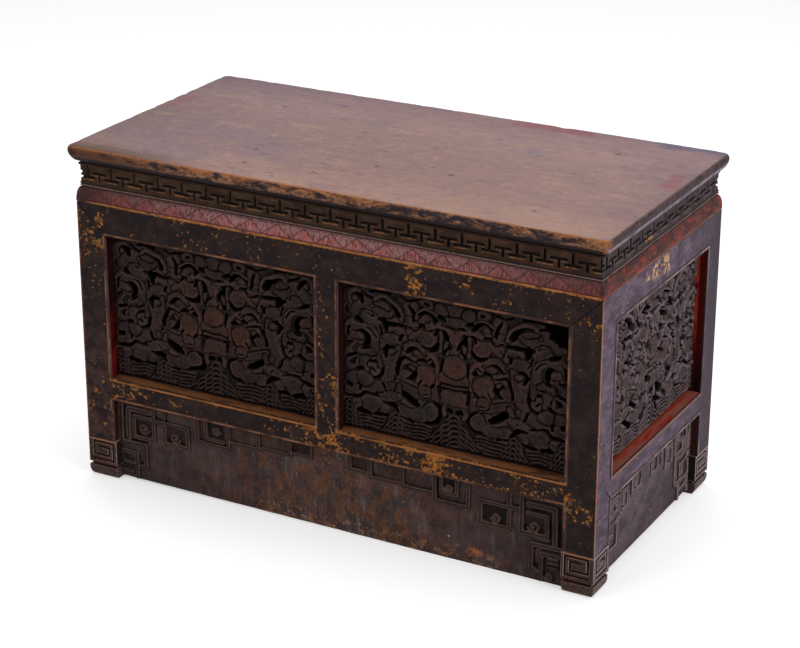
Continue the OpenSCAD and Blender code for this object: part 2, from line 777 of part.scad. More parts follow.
module lowboard(side, carved) {
    o = opening_of(side);
    color([0.24, 0.19, 0.17])
        at_side(side) {
            span_box([-o, lowboard_inset, lowboard_z], [o, lowboard_inset + lowboard_t, midrail_z]);
            span_box(
                [-o - tongue_l, lowboard_tongue_y, lowboard_tongue_z],
                [o + tongue_l, lowboard_tongue_y + tongue_t, midrail_z + tongue_l]);
            if (carved)
                between_depths(lowboard_inset - spiral_out, lowboard_inset + 1)
                    intersection() {
                        translate([-o, lowboard_z]) square([2 * o, midrail_z - lowboard_z]);
                        offset(delta = 0.01)
                            both_ways()
                                translate([o, midrail_z])
                                    if (side % 2 == 0) long_spirals(); else short_spirals();
                    }
        }
}

top_board();
batten(-batten_x);  // batten_left
batten(batten_x);  // batten_right
waist(0);  // waist_front
waist(1);  // waist_right
waist(2);  // waist_back
waist(3);  // waist_left
moulding(0);  // moulding_front
moulding(1);  // moulding_right
moulding(2);  // moulding_back
moulding(3);  // moulding_left
apron(0);  // apron_front
apron(1);  // apron_right
apron(2);  // apron_back
apron(3);  // apron_left
leg(false, false);  // leg_front_left
leg(true, false);  // leg_front_right
leg(false, true);  // leg_back_left
leg(true, true);  // leg_back_right
midrail(0);  // midrail_front
midrail(1);  // midrail_right
midrail(2);  // midrail_back
midrail(3);  // midrail_left
stile(0);  // stile_front
stile(2);  // stile_back
carved_panel(0, 0);  // panel_front_left
carved_panel(0, 1);  // panel_front_right
carved_panel(1, 0);  // panel_right
carved_panel(3, 0);  // panel_left
closed_panel(2, 1);  // panel_back_left
closed_panel(2, 0);  // panel_back_right
lowboard(0, true);  // lowboard_front
lowboard(1, true);  // lowboard_right
lowboard(2, false);  // lowboard_back
lowboard(3, true);  // lowboard_left
waist_pins();
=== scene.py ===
import math
import random

import bmesh
import bpy
import numpy as np
from mathutils import Matrix, Vector


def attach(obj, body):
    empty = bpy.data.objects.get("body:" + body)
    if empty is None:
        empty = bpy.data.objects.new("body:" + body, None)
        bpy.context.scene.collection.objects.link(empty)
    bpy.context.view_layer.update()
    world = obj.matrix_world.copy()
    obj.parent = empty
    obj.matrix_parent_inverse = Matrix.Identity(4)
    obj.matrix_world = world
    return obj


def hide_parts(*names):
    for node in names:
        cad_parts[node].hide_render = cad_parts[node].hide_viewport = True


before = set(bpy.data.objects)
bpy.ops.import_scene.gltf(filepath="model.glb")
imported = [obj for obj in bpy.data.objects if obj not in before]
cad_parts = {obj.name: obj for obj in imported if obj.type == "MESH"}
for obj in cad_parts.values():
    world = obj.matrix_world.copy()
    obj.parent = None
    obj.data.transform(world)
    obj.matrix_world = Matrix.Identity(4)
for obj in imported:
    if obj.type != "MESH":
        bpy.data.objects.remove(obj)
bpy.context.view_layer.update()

# Sizes of the bench in millimetres, brought to metres where a piece is placed
MM = 0.001
HALF_LONG, HALF_SHORT = 343.5, 173.0
FACE_FRONT, FACE_BACK, MID_Y = -169.75, 176.25, 3.25
TOP_HALF_LONG, TOP_HALF_SHORT, TOP_LOW, TOP_HIGH = 351.5, 177.75, 411.0, 430.0
LEG, STILE = 40.0, 32.0
SILL, HEAD, TONGUE = 137.0, 321.5, 6.0
PANEL_IN, PANEL_BACK = 18.5, 26.5
BOARD_IN, BOARD_BACK, BOARD_FOOT, RAIL_UNDER = 17.0, 30.0, 0.3, 108.0
FIELD_IN, RIB_HIGH = 12.0, 3.0
APRON_TOP, LIP, WAIST_LOW = 360.0, 2.0, 378.0
WAIST_IN, WAIST_BACK = 5.0, 19.0
MERGE = 0.01
FRONT, RIGHT, BACK, LEFT = range(4)


# Camera, floor and light

WHITE = (1, 1, 1, 1)


def placed(name, data):
    thing = bpy.data.objects.new(name, data)
    bpy.context.scene.collection.objects.link(thing)
    return thing


def add_node(tree, kind, inputs=(), **settings):
    """A shader node; its inputs are given by socket as a value, a socket or a node."""
    node = tree.nodes.new("ShaderNode" + kind)
    for name, value in settings.items():
        setattr(node, name, value)
    for name, value in dict(inputs).items():
        if isinstance(value, bpy.types.Node):
            value = value.outputs[0]
        if isinstance(value, bpy.types.NodeSocket):
            tree.links.new(value, node.inputs[name])
        else:
            node.inputs[name].default_value = value
    return node


def empty_tree(owner):
    owner.use_nodes = True
    owner.node_tree.nodes.clear()
    return owner.node_tree


def place_camera():
    """Looks down on the front right corner, as in the photograph."""
    turn, tilt, roll = 0.4958996, 0.3798766, 0.0025109
    distance, target = 2.7993722, Vector((0.0031382, 0.00325, 0.2072))
    focus, sensor, picture_wide = 2305.2, 36, 800
    back = Vector((math.sin(turn) * math.cos(tilt), -math.cos(turn) * math.cos(tilt), math.sin(tilt)))
    right = (-back).cross(Vector((0, 0, 1))).normalized()
    up = right.cross(-back)
    side = right * math.cos(roll) + up * math.sin(roll)
    top = up * math.cos(roll) - right * math.sin(roll)
    lens = bpy.data.cameras.new("photo_camera")
    lens.sensor_fit = "HORIZONTAL"
    lens.sensor_width = sensor
    lens.lens = focus * sensor / picture_wide
    lens.clip_end = 50
    camera = placed("photo_camera", lens)
    turned = Matrix((side, top, back)).transposed().to_4x4()
    camera.matrix_world = Matrix.Translation(target + back * distance) @ turned
    bpy.context.scene.camera = camera


def soft_lamp(name, place, aim, width, height, power):
    lamp = bpy.data.lights.new(name, "AREA")
    lamp.shape = "RECTANGLE"
    lamp.size, lamp.size_y, lamp.energy = width, height, power
    holder = placed(name, lamp)
    holder.location = place
    holder.rotation_euler = (Vector(aim) - Vector(place)).to_track_quat("-Z", "Y").to_euler()


def light_the_room():
    """Three soft lamps in a pale room that looks plain white from the camera."""
    soft_lamp("window_right", (2.6, -0.5, 1.1), (0.2, 0, 0.2), 1.6, 1.6, 34)
    soft_lamp("sky_panel", (-0.2, 0.5, 2.6), (0, 0, 0.3), 2.2, 1.8, 30)
    soft_lamp("front_fill", (-1.2, -2.6, 1.6), (0, 0, 0.2), 1.8, 1.8, 18)
    world = bpy.data.worlds.new("white_room")
    bpy.context.scene.world = world
    tree = empty_tree(world)
    path = add_node(tree, "LightPath").outputs
    first = add_node(tree, "Math", {0: path["Is Camera Ray"], 1: path["Is Glossy Ray"]}, operation="MAXIMUM")
    seen = add_node(tree, "Math", {0: first, 1: path["Is Transmission Ray"]}, operation="MAXIMUM")
    room = add_node(tree, "Background", {"Color": WHITE, "Strength": 0.45})
    backdrop = add_node(tree, "Background", {"Color": WHITE, "Strength": 1.0})
    add_node(tree, "OutputWorld", {"Surface": add_node(tree, "MixShader", {0: seen, 1: room, 2: backdrop})})


def lay_floor():
    """A pale matt floor, lifted towards white where the camera sees it."""
    bm = bmesh.new()
    bmesh.ops.create_grid(bm, x_segments=1, y_segments=1, size=6)
    floor = placed("pale_floor", mesh_of("pale_floor", bm))
    paint = bpy.data.materials.new("pale_floor")
    tree = empty_tree(paint)
    seen = add_node(tree, "LightPath").outputs["Is Camera Ray"]
    lift = add_node(tree, "Math", {0: seen, 1: 0.45}, operation="MULTIPLY")
    matt = add_node(tree, "BsdfDiffuse", {"Color": (0.8, 0.8, 0.8, 1)})
    glow = add_node(tree, "Emission", {"Color": WHITE, "Strength": lift})
    add_node(tree, "OutputMaterial", {"Surface": add_node(tree, "AddShader", {0: matt, 1: glow})})
    floor.data.materials.append(paint)


# Reliefs as heights over a board

def drift(seed, reach, U, V, shortest=18.0, longest=60.0):
    """A soft random sway of about reach either way."""
    chance = random.Random(seed)
    waves = 7
    total = 0 * U
    for _ in range(waves):
        turn = chance.uniform(0, math.pi)
        length = chance.uniform(shortest, longest)
        shift = chance.uniform(0, math.tau)
        total = total + np.sin((U * math.cos(turn) + V * math.sin(turn)) * math.tau / length + shift)
    return reach * total / math.sqrt(waves)


def blurred(field, cells):
    """Each point averaged with its neighbours."""
    n = int(max(1, round(cells * 2.5)))
    share = np.exp(-0.5 * (np.arange(-n, n + 1) / cells) ** 2)
    share /= share.sum()
    for _ in range(2):
        wide = np.pad(field, [(n, n), (0, 0)], mode="edge")
        field = sum(share[k] * wide[k:k + field.shape[0]] for k in range(2 * n + 1)).T
    return field


def eased(value, low, high):
    t = np.clip((value - low) / (high - low), 0, 1)
    return t * t * (3 - 2 * t)


def ridge(away, wide):
    return np.exp(-(away / wide) ** 2)


# Making the meshes

def mesh_of(name, bm):
    mesh = bpy.data.meshes.new(name)
    bm.to_mesh(mesh)
    bm.free()
    return mesh


def open_edges(bm):
    return [e for e in bm.edges if e.is_boundary]


def sheet(nx, nz, alive=None):
    """A flat grid closed into a board: its back lies one unit below its face."""
    bm = bmesh.new()
    bmesh.ops.create_grid(bm, x_segments=nx, y_segments=nz, size=0.5)
    if alive is None:
        made = bmesh.ops.extrude_edge_only(bm, edges=open_edges(bm))["geom"]
    else:
        middles = ((face, face.calc_center_median()) for face in bm.faces)
        gone = [face for face, c in middles if not alive[int((c.x + 0.5) * nx), int((c.y + 0.5) * nz)]]
        bmesh.ops.delete(bm, geom=gone, context="FACES")
        made = bmesh.ops.extrude_face_region(bm, geom=bm.faces[:], use_keep_orig=True)["geom"]
    low = [v for v in made if isinstance(v, bmesh.types.BMVert)]
    bmesh.ops.translate(bm, verts=low, vec=(0, 0, -1))
    bmesh.ops.edgeloop_fill(bm, edges=open_edges(bm))
    bmesh.ops.recalc_face_normals(bm, faces=bm.faces[:])
    return bm


def add_piece(way, node, mesh, finish, sharp):
    """Stands a mesh in the place of its CAD node."""
    if sharp:
        mesh.shade_smooth()
        mesh.set_sharp_from_angle(angle=math.radians(sharp))
    else:
        mesh.shade_flat()
    mesh.materials.clear()
    mesh.materials.append(finish.material)
    piece = placed(way + "_" + node, mesh)
    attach(piece, "root")
    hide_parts(node)


def on_side(side, x, depth, z):
    """Places on a side: x runs along it, depth goes in from its face and z goes up."""
    along, across = ((x, FACE_FRONT + depth), (HALF_LONG - depth, MID_Y + x),
                     (-x, FACE_BACK - depth), (depth - HALF_LONG, MID_Y - x))[side]
    return np.stack([along, across, z], -1) * MM


def half_of(side):
    return HALF_LONG if side in (FRONT, BACK) else HALF_SHORT


def grid(x0, x1, z0, z1, nx, nz):
    return np.meshgrid(np.linspace(x0, x1, nx + 1), np.linspace(z0, z1, nz + 1), indexing="ij")


def add_board(way, node, finish, side, face, back, shares, sharp=70, alive=None):
    """A closed board from arrays over its grid: x, depth and z of its face, x and depth of its back."""
    (x, depth, z), (back_x, back_depth) = face, back
    nx, nz = x.shape[0] - 1, x.shape[1] - 1
    mesh = mesh_of(way + "_" + node, sheet(nx, nz, alive))
    flat = np.empty(len(mesh.vertices) * 3, np.float32)
    mesh.vertices.foreach_get("co", flat)
    u, v, level = flat.reshape(-1, 3).T
    at = np.rint((u + 0.5) * nx).astype(int), np.rint((v + 0.5) * nz).astype(int)
    low = level < -0.5
    spots = on_side(side, np.where(low, back_x[at], x[at]), np.where(low, back_depth, depth[at]), z[at])
    mesh.vertices.foreach_set("co", spots.astype(np.float32).ravel())
    for share, values in shares.items():
        # Where a board has a hollow share, its back counts as fully hollow and takes the painted shade of the
        # hollows.
        values = np.where(low, float(share == "hollow"), values[at])
        mesh.attributes.new(share, "FLOAT", "POINT").data.foreach_set("value", values.astype(np.float32))
    mesh.update()
    add_piece(way, node, mesh, finish, sharp)


# The carving

CARVED_HALF, CARVED_HIGH = 143.75, 184.5


def smooth_line(points, half=0.2):
    """A smooth line through the points; each is u, v and the half width there, or else half."""
    p = np.array([(*point, half)[:3] for point in points], float)
    if len(p) < 3:
        return p
    ends = np.vstack([2 * p[0] - p[1], p, 2 * p[-1] - p[-2]])
    cuts = 6
    rows = []
    for a, b, c, d in zip(ends, ends[1:], ends[2:], ends[3:]):
        for t in np.arange(cuts) / cuts:
            bend = (2 * a - 5 * b + 4 * c - d) * t * t + (3 * b - a - 3 * c + d) * t ** 3
            rows.append(0.5 * (2 * b + (c - a) * t + bend))
    return np.array(rows + [p[-1]])


def curl(u, v, r, turns, start, way=1):
    """A line that winds in to the middle u, v."""
    n = int(14 * turns)
    t = np.arange(n + 1) / n
    a = np.radians(start + way * 360 * turns * t)
    k = r * (1 - t) ** 0.8 + 0.8
    return np.stack([u + k * np.cos(a), v + k * np.sin(a), 0 * t], -1)


class Relief:
    """Heights of a carved face above its ground, on an even grid of u and v."""

    def __init__(self, u0, u1, v0, v1, step):
        self.step = step
        self.u = np.linspace(u0, u1, int(round((u1 - u0) / step)) + 1)
        self.v = np.linspace(v0, v1, int(round((v1 - v0) / step)) + 1)
        self.U, self.V = np.meshgrid(self.u, self.v, indexing="ij")
        self.h, self.warm = np.zeros(self.U.shape), np.zeros(self.U.shape)
        self.open = self.far(9.0)
        self.bite = np.clip(0.7 + drift(5, 0.35, self.U, self.V, 9, 30), 0.1, 1)

    def far(self, away=99.0):
        return np.full(self.U.shape, away)

    def at(self, field, u, v):
        """The field's value between its points."""
        a = np.clip((u - self.u[0]) / self.step, 0, field.shape[0] - 1.001)
        b = np.clip((v - self.v[0]) / self.step, 0, field.shape[1] - 1.001)
        i, j = a.astype(int), b.astype(int)
        a, b = a - i, b - j
        return ((field[i, j] * (1 - a) + field[i + 1, j] * a) * (1 - b)
                + (field[i, j + 1] * (1 - a) + field[i + 1, j + 1] * a) * b)

    def window(self, low, high, room):
        a = np.searchsorted(self.u, low[0] - room), np.searchsorted(self.u, high[0] + room)
        b = np.searchsorted(self.v, low[1] - room), np.searchsorted(self.v, high[1] + room)
        return slice(*a), slice(*b)

    def away(self, w, a, b):
        """Distance to the line from a to b, and how far along it the nearest place is."""
        U, V, d = self.U[w] - a[0], self.V[w] - a[1], b[:2] - a[:2]
        t = np.clip((U * d[0] + V * d[1]) / max(d @ d, 1e-9), 0, 1)
        return np.hypot(U - t * d[0], V - t * d[1]), t

    def along(self, line, room=3.0):
        """Distance to a line of u, v and half width rows: below 0 is inside."""
        line = np.array(line, float)
        w = self.window(line[:, :2].min(0), line[:, :2].max(0), line[:, 2].max() + room)
        best = self.far()[w]
        for a, b in zip(line, line[1:]):
            d, t = self.away(w, a, b)
            best = np.minimum(best, d - a[2] - t * (b[2] - a[2]))
        return w, best

    def round(self, u, v, ru, rv, turn=0.0, room=3.0):
        r = max(ru, rv)
        w = self.window((u - r, v - r), (u + r, v + r), room)
        c, s = math.cos(math.radians(turn)), math.sin(math.radians(turn))
        x = ((self.U[w] - u) * c + (self.V[w] - v) * s) / ru
        y = (-(self.U[w] - u) * s + (self.V[w] - v) * c) / rv
        lobes = 1 + 0.05 * np.sin(3 * np.arctan2(y, x) + u + v)
        return w, (np.hypot(x, y) - lobes) * min(ru, rv)

    def inside(self, points, room=3.0):
        p = np.array(points, float)
        w = self.window(p.min(0), p.max(0), room)
        best = self.far()[w]
        within = np.zeros(best.shape, bool)
        for a, b in zip(p, np.roll(p, -1, 0)):
            best = np.minimum(best, self.away(w, a, b)[0])
            if b[1] != a[1]:
                crossing = (b[0] - a[0]) * (self.V[w] - a[1]) / (b[1] - a[1]) + a[0]
                within ^= ((a[1] > self.V[w]) != (b[1] > self.V[w])) & (self.U[w] < crossing)
        return w, np.where(within, -best, best)

    def shape(self, *parts):
        """Parts run together: a tuple is round, a list of u, v, half width a stem, one of u, v an outline."""
        best = self.far()
        for part in parts:
            if isinstance(part, tuple):
                w, d = self.round(*part)
            else:
                w, d = self.inside(part) if len(part[0]) == 2 else self.along(smooth_line(part))
            best[w] = np.minimum(best[w], d)
        return best

    def form(self, top, *parts, drop=2.3, soft=2.3, crown=0.5, gap=0.9, warm=0.0):
        """Lays a softly rounded form over what is there, with a cut line round it."""
        d = self.shape(*parts)
        t = np.clip(-d / soft, 0, 1)
        shape = top - drop + drop * np.sqrt(1 - (1 - t) ** 2) + crown * np.clip((-d - soft) / 8, 0, 1)
        rim = (d >= 0) & (d < gap)
        self.h[rim] = np.minimum(self.h, top - drop - 2.8 * self.bite)[rim]
        within = d < 0
        self.h[within] = shape[within]
        self.warm[within] = warm

    def lay_lines(self, outline, ground, lines, wide, high):
        """Inside an outline, ridges along the lines over a level ground."""
        best = self.far()
        for path in lines:
            w, d = self.along(path, 6)
            best[w] = np.minimum(best[w], d)
        within = self.shape(outline) < 0
        self.h[within] = (ground + high * ridge(np.maximum(best, 0), wide))[within]
        self.warm[within] = 0

    def incise(self, line, width, depth):
        w, d = self.along(line)
        self.h[w] -= depth * ridge(np.maximum(d, 0), width)

    def pierce(self, *parts):
        self.open = np.minimum(self.open, self.shape(*parts))


# Lines along the middle of each gap: u, v and half the gap's width
GAPS = [
    [(24, 155, 3.4), (29, 160.5, 2.8), (38, 162.5, 1.8), (46, 157.5, 2.2)], [(12, 134, 2.4), (13, 144, 3)],
    [(23, 146, 2), (25.5, 139.5, 1.8)], [(4.5, 125, 1.4), (6, 131, 1.8), (9.5, 136.5, 1.6)],
    [(21.5, 127, 2.2), (25, 121.5, 3.6), (32, 119.5, 2.8), (40, 122, 1.4)], [(16, 95, 1.2), (16, 110, 1.2)],
    [(10, 124, 1.5), (13.5, 116, 1.5)], [(25, 101, 2.6), (29, 101.5, 2.6)],
    [(12, 157.5, 1.4), (20, 160, 2.2)], [(37, 146, 1.6), (43, 147, 1.6)],
    [(46, 117, 1), (53, 116.5, 2.4), (58, 112.5, 3), (61, 109, 1.2)], [(37.5, 104.5, 2), (47, 103, 1.3)],
    [(66.5, 130, 2), (69, 124.5, 2.6)], [(65, 140.5, 1.2), (80, 141, 1.8), (90, 141.5, 3), (99, 143, 1.2)],
    [(90, 140, 5), (88, 133, 3)], [(71.5, 153.5, 4.4), (76, 161, 3.6), (85, 166.5, 1.9), (96, 168, 1.1)],
    [(57, 168, 1.4), (53, 160, 2.2), (51.5, 149.5, 2)],
    [(79, 112.5, 1), (86, 112.5, 2), (90, 108, 2.8), (87, 101, 2.2)],
    [(121, 125.5, 1.3), (114.5, 121, 3.2), (113, 112.5, 3.6), (118, 107, 1.4)],
    [(91.5, 121, 1), (96, 133, 1)], [(99.5, 121, 1), (106, 130, 1), (112, 132, 1)],
    [(104, 168, 1.2), (112, 170, 1.2), (119, 174, 1.2)],
    [(117.5, 161, 2.4), (121, 167, 2.6), (128, 171, 1.2)], [(119, 138, 2.5), (127, 140, 2.5)],
    [(135.5, 129, 1.8), (137.5, 118, 1.8)], [(64, 102, 2), (69, 96, 2.8), (73, 87, 2.6), (72, 79, 1.4)],
    [(51, 87, 3), (54, 81, 2.8), (60, 78, 1)], [(101, 98, 1), (108, 95, 1)],
    [(101, 90, 1.1), (109, 89.5, 1.1)], [(117.5, 78, 2.4), (124, 76, 2.4)],
    [(127, 90.5, 1.6), (130.5, 84, 1.6)], [(93, 84, 2.4), (95, 75, 1.9), (104, 70.5, 1.5)],
    [(91.5, 66, 1.6), (90, 60, 1.7), (87, 56, 1.2)], [(46, 48, 3), (55, 52.5, 4.6), (65, 58, 3.6)],
    [(28, 55, 0.9), (19, 49, 1.6), (18, 40, 2.4), (25, 31.5, 3.2), (38, 28, 1.4)],
    [(4.5, 48.5, 2.6), (8.5, 48.5, 2.6)], [(72, 34, 2.6), (78, 39.5, 3.2), (91, 42.5, 1.3)],
    [(86, 25.5, 1.7), (103, 25.5, 1.7)], [(109, 25.5, 3.2), (123, 26.5, 3.2)],
    [(94, 48.5, 0.8), (106, 50, 1.1), (115, 50, 1.8), (122, 44.5, 1.8), (130, 41.5, 1.5), (140, 42.5, 1.3)],
    [(134, 56, 2.6), (138, 57, 2.6)], [(53, 26, 1.3), (69, 28, 1.3)], [(128, 95.5, 1.5), (138, 92, 1.5)],
    [(12, 74.5, 1.2), (21, 76.5, 1.2)], [(34, 172, 2), (37.5, 172, 2)],
    [(61, 143, 0.9), (50, 139, 0.9), (44, 145, 0.9)], [(16.5, 61, 1), (16.5, 72, 1)],
    [(26, 78, 1.5), (30, 73, 1.5)], [(43, 80, 1.3), (46.5, 74, 1.3)], [(32, 63.5, 0.8), (40, 62, 0.8)],
    [(121, 58, 1.6), (122, 53, 1.6)], [(2, 148.5, 0.8), (8, 151, 0.8), (15, 152.5, 0.8)],
    [(111, 106, 1.2), (118, 103, 1.2)], [(132, 112, 1.1), (139, 108, 1.1)],
    [(106, 152, 0.7), (104, 146, 0.7), (110, 149, 0.7)], [(46, 176, 0.8), (60, 173, 0.8), (70, 176, 0.8)],
    [(84, 176.5, 1.1), (98, 177.5, 1.1), (108, 176, 1.1)], [(62, 93, 1.2), (56, 90, 1.2)],
    [(48, 99.5, 0.9), (60, 101.5, 0.9)], [(138, 146, 1.6), (139, 152, 1.6)], [(78, 49, 0.9), (81, 52, 0.9)],
    [(30, 109, 1.2), (34, 106, 1.2)], [(102, 79, 1.1), (106, 82, 1.1)],
]


# How the combed lines of a hill step down from its peak: share of its half width, and drop
HILL_STEPS = [(0, 0), (0.10, 1.5), (0.18, 7), (0.30, 10.5), (0.37, 16), (0.52, 20.5), (0.6, 26), (0.78, 31),
              (1.0, 40)]


def draw_carving():
    """Half of the carving: u goes out from the middle, v up from the sill."""
    r = Relief(0, CARVED_HALF, 0, CARVED_HIGH, step=0.5)
    form, incise, W = r.form, r.incise, smooth_line
    r.h += 4.9 + 0.4 * drift(3, 1, r.U, r.V, 14, 40)

    # Top row: petals, hooked stems and broad clouds
    form(7.8, (0, 172, 10.5, 8))
    form(7.6, (17, 170, 9.5, 7, 25))
    form(7, [(-15, 151), (15, 152), (12, 164), (-11, 164)])
    form(6.8, (36, 172, 9.5, 8))
    form(7.2, (52, 164, 6, 10, -10), (58, 158, 7, 9, 10), (60, 166, 5, 5))
    form(8.2, [(22.5, 150, 3), (25, 158, 2.9), (36, 165, 2.9), (47, 159, 2.7), (49, 149, 2.4)])
    form(7.8, (38.5, 154, 5.2, 5), (40, 149, 6, 5))
    form(7.8, (51, 145, 6, 5), (60, 149, 8, 6.5), [(60, 146, 4), (75, 148, 3.6), (88, 145, 1.6)])
    form(6.9, (92, 155, 13, 9), (112, 158, 14, 11), (128, 156, 13, 12), (104, 147, 12, 8),
         (137, 160, 8, 16), crown=0.8)
    form(8.6, [(66, 149, 3.4), (69.5, 161, 3.4), (80, 169, 3.2), (92, 172.5, 3.4), (101, 168, 3.2),
         (104.5, 158, 2)])
    form(7.9, (93, 160.5, 10, 4.2, 12))
    form(8, [(134, 160, 3.6), (135, 170, 3.4), (127, 175.5, 2.8), (118, 173, 1.8)])
    form(7.8, (128, 165.5, 4, 3.8))

    # Centre top: arches over the bud, volutes and the broad leaves that run out from them
    form(8, [(-8, 117), (8, 117), (5.5, 130), (0, 142), (-5.5, 130)], warm=0.4)
    form(7.2, [(18, 119, 2.5), (18.5, 143, 2.5)])
    form(7, [(9, 118, 3.4), (13, 128, 2.8), (8, 133, 1.6)])
    form(8.4, [(3.5, 131, 3.2), (3, 141, 3.6), (10, 148.5, 4), (21, 151, 4.2), (32, 148.5, 4),
         (39, 143, 2.4)], warm=0.3)
    form(7.6, [(40, 138, 5), (52, 133.5, 8.4), (61, 124, 9), (67, 113, 7), (71, 102, 3.6)], [(56, 138, 3),
         (62, 133, 5), (66, 124, 4)], warm=0.25)
    form(8.4, (33.5, 132, 12, 11), [(40, 138, 5), (48, 136, 5), (56, 130, 3)], crown=0.9, warm=0.35)
    incise(curl(33, 131.5, 7.4, 1.2, -30), 0.8, 1.7)
    form(8.4, [(37, 109, 4), (43, 119.5, 4.2), (54, 122, 3.8), (62.5, 115, 3.4), (66, 105, 2.8)], warm=0.15)
    form(7.8, (46, 110.5, 6.2, 4.6))
    form(7, (51, 95, 6.5, 5), (60, 96, 7, 6))
    form(8.4, [(42, 100.5, 2), (53, 105, 3.2), (66, 108, 2.2)])

    # Middle: leaves, column, and the band above its head
    form(7.6, [(63, 126, 4), (69, 135, 4.2), (79, 137, 3.8), (85, 131, 2.6)], (76, 128, 6, 5))
    form(7.2, [(88, 118, 2.6), (90, 128, 2.2), (91, 134, 1.2)], [(91, 116, 2.6), (95, 128, 2.4),
         (99, 139, 1.4)], [(97, 114, 2.8), (102, 126, 2.4), (108, 133, 1.4)])
    form(7, [(97, 86, 4.2), (97.5, 100, 4.4), (97, 116, 3.8)])
    form(7.8, [(68, 116, 3.6), (77, 124, 6.4), (88, 122, 5.6), (97, 110, 3.2)])
    form(7.9, [(90, 104, 3.4), (83, 96, 9), (82, 86, 9.2), (85, 76, 8.8), (84.5, 66, 6.6), (80, 58, 5)],
         [(72, 114, 3.4), (74, 105, 4.4), (77, 96, 5)], crown=1.2, warm=0.1)
    for s in (-4.2, 0.8):
        incise(W([(79 + s, 110), (80 + s, 94), (83.5 + s, 80), (84 + s * 0.8, 68)]), 0.7, 1.1)
    form(8.2, (80, 107.5, 5.2, 4.2))
    form(8, [(72.5, 61), (72.5, 70.5), (83, 69.5), (83, 60.5)], drop=0.9, soft=1.2)
    incise([(76.3, 62, 0.3), (76.3, 69, 0.3)], 0.6, 1.8)
    form(8, (109, 141, 13, 10.5, 15), crown=1.2)

    # Outer side
    form(8.2, [(103, 100, 4), (101, 113, 5.4), (104, 126, 5.4), (116, 132.5, 4.6), (129, 129, 4.4),
         (134, 118, 3.6), (131, 106, 2.4)], [(120, 134, 3), (132, 136, 4), (139, 130, 3)])
    form(8.4, (125, 118.5, 6.4, 6.4), [(130, 124, 2.4), (132, 118, 2.4)], warm=0.4)
    form(8, [(116, 109.5, 2), (128, 112, 2.8)], [(126, 111, 2.6), (134, 104, 2)], (136, 99, 5, 6))
    form(7.2, (108, 102, 7, 5), (119, 100, 7, 5), [(119, 100, 5), (116, 92, 6)])
    form(8, (116, 87, 9, 8), (111, 79.5, 6, 5), warm=0.12)
    form(7.8, [(124, 80, 2.8), (125, 88, 2.8), (131, 93, 3), (137, 88, 3), (138, 78, 2.8)],
         (132, 79, 7, 4.4))
    form(7.8, (100, 77, 8, 6.4), (105, 85, 5.4, 5.4))
    form(7.3, (97, 61, 9, 8), (109, 56, 11, 6), (131, 66, 9.5, 7.5), (128, 52, 10, 7), (137, 49, 6, 6))
    form(8.2, (114.5, 67, 10, 9), crown=1)
    incise(W([(106, 61), (115, 60), (124, 63)]), 0.7, 1.0)
    form(7.8, (61.5, 83, 7, 6.4), [(49, 73.5, 2.2), (62, 74.5, 3.2), (73, 79, 2.6)])
    form(7, (55.5, 92, 5, 4))

    # Ribbons round the slanted opening
    form(7.2, (40, 50, 8, 9))
    form(8.2, [(24, 57, 3), (40, 60.5, 4.6), (55, 66, 5.2), (71, 71, 4.4)])
    for s in (-1.8, 1.1):
        incise(W([(28, 57 + s), (42, 60.8 + s), (56, 66 + s), (68, 69.4 + s)]), 0.6, 1.2)
    form(8.3, [(69.5, 68, 3.4), (72.5, 59, 3.6), (66, 50.5, 3.6), (56, 45, 3.4), (44, 43, 2.6)])
    # Clouds under them
    form(8, (47, 36, 14, 8), (29, 43, 11.5, 11.5), (63.5, 36, 9.6, 9), crown=1)
    incise(curl(29.5, 43.5, 7.4, 1.1, 200, -1), 0.8, 1.5)
    incise(curl(64, 36.5, 5.6, 1.2, 150, -1), 0.8, 1.5)
    form(7.2, [(11, 56, 2.6), (13.5, 48, 3.6), (11, 38, 2)])
    form(7.9, [(73, 53, 6), (83, 51, 6.6), (96, 46, 5)], (98, 41, 7.5, 8), (109, 36.5, 12.5, 11.5),
         (89.5, 35, 6, 7), crown=1)
    incise(W([(84, 40), (94, 38), (96, 31)]), 0.7, 1.4)
    incise(curl(109.5, 37, 7.0, 1.2, -60), 0.8, 1.5)
    form(7.7, (128, 35, 8.6, 8), (138, 37, 7, 6))
    incise(curl(128.5, 35.5, 4.8, 1.0, 120, -1), 0.7, 1.3)

    # Fans on their stems, and the bars beside the medallion
    form(7.4, [(20, 55), (20, 74), (31, 73), (34, 59)], (31, 68, 6, 6), warm=0.2)
    form(7.6, [(38, 79, 6.4), (37, 66, 8)], warm=0.4)
    form(8.3, [(23, 75, 2.4), (20.5, 88, 2.6), (21, 100, 2.8), (25, 110, 3), (34, 116, 2.6)],
         (33, 107, 4, 6), warm=0.9)
    form(8.3, (37, 87, 13.5, 12.2), (30, 80, 6, 7), (43, 80, 6.5, 7), crown=1.2, warm=0.7)
    for a in (60, 95, 125):
        c, s = math.cos(math.radians(a)), math.sin(math.radians(a))
        incise([(37 + 4 * c, 78 + 4 * s, 0.1), (37 + 14 * c, 82 + 14 * s, 0.1)], 0.7, 0.8)
    # Pedestal, body and medallion
    form(8, [(-18, 56.5), (18, 56.5), (14.5, 75), (-14.5, 75)], crown=1, warm=0.45)
    form(7.2, [(-16, 79, 1.8), (16, 79, 1.8)], warm=0.3)
    form(7.8, [(-19, 83), (19, 83), (19, 91), (14, 99), (-14, 99), (-19, 91)], warm=0.5)
    form(8.6, (0, 104, 14.2, 13.4), crown=0.5, warm=0.8)
    incise(curl(0, 105, 9.4, 1.4, 20), 0.8, 1.2)

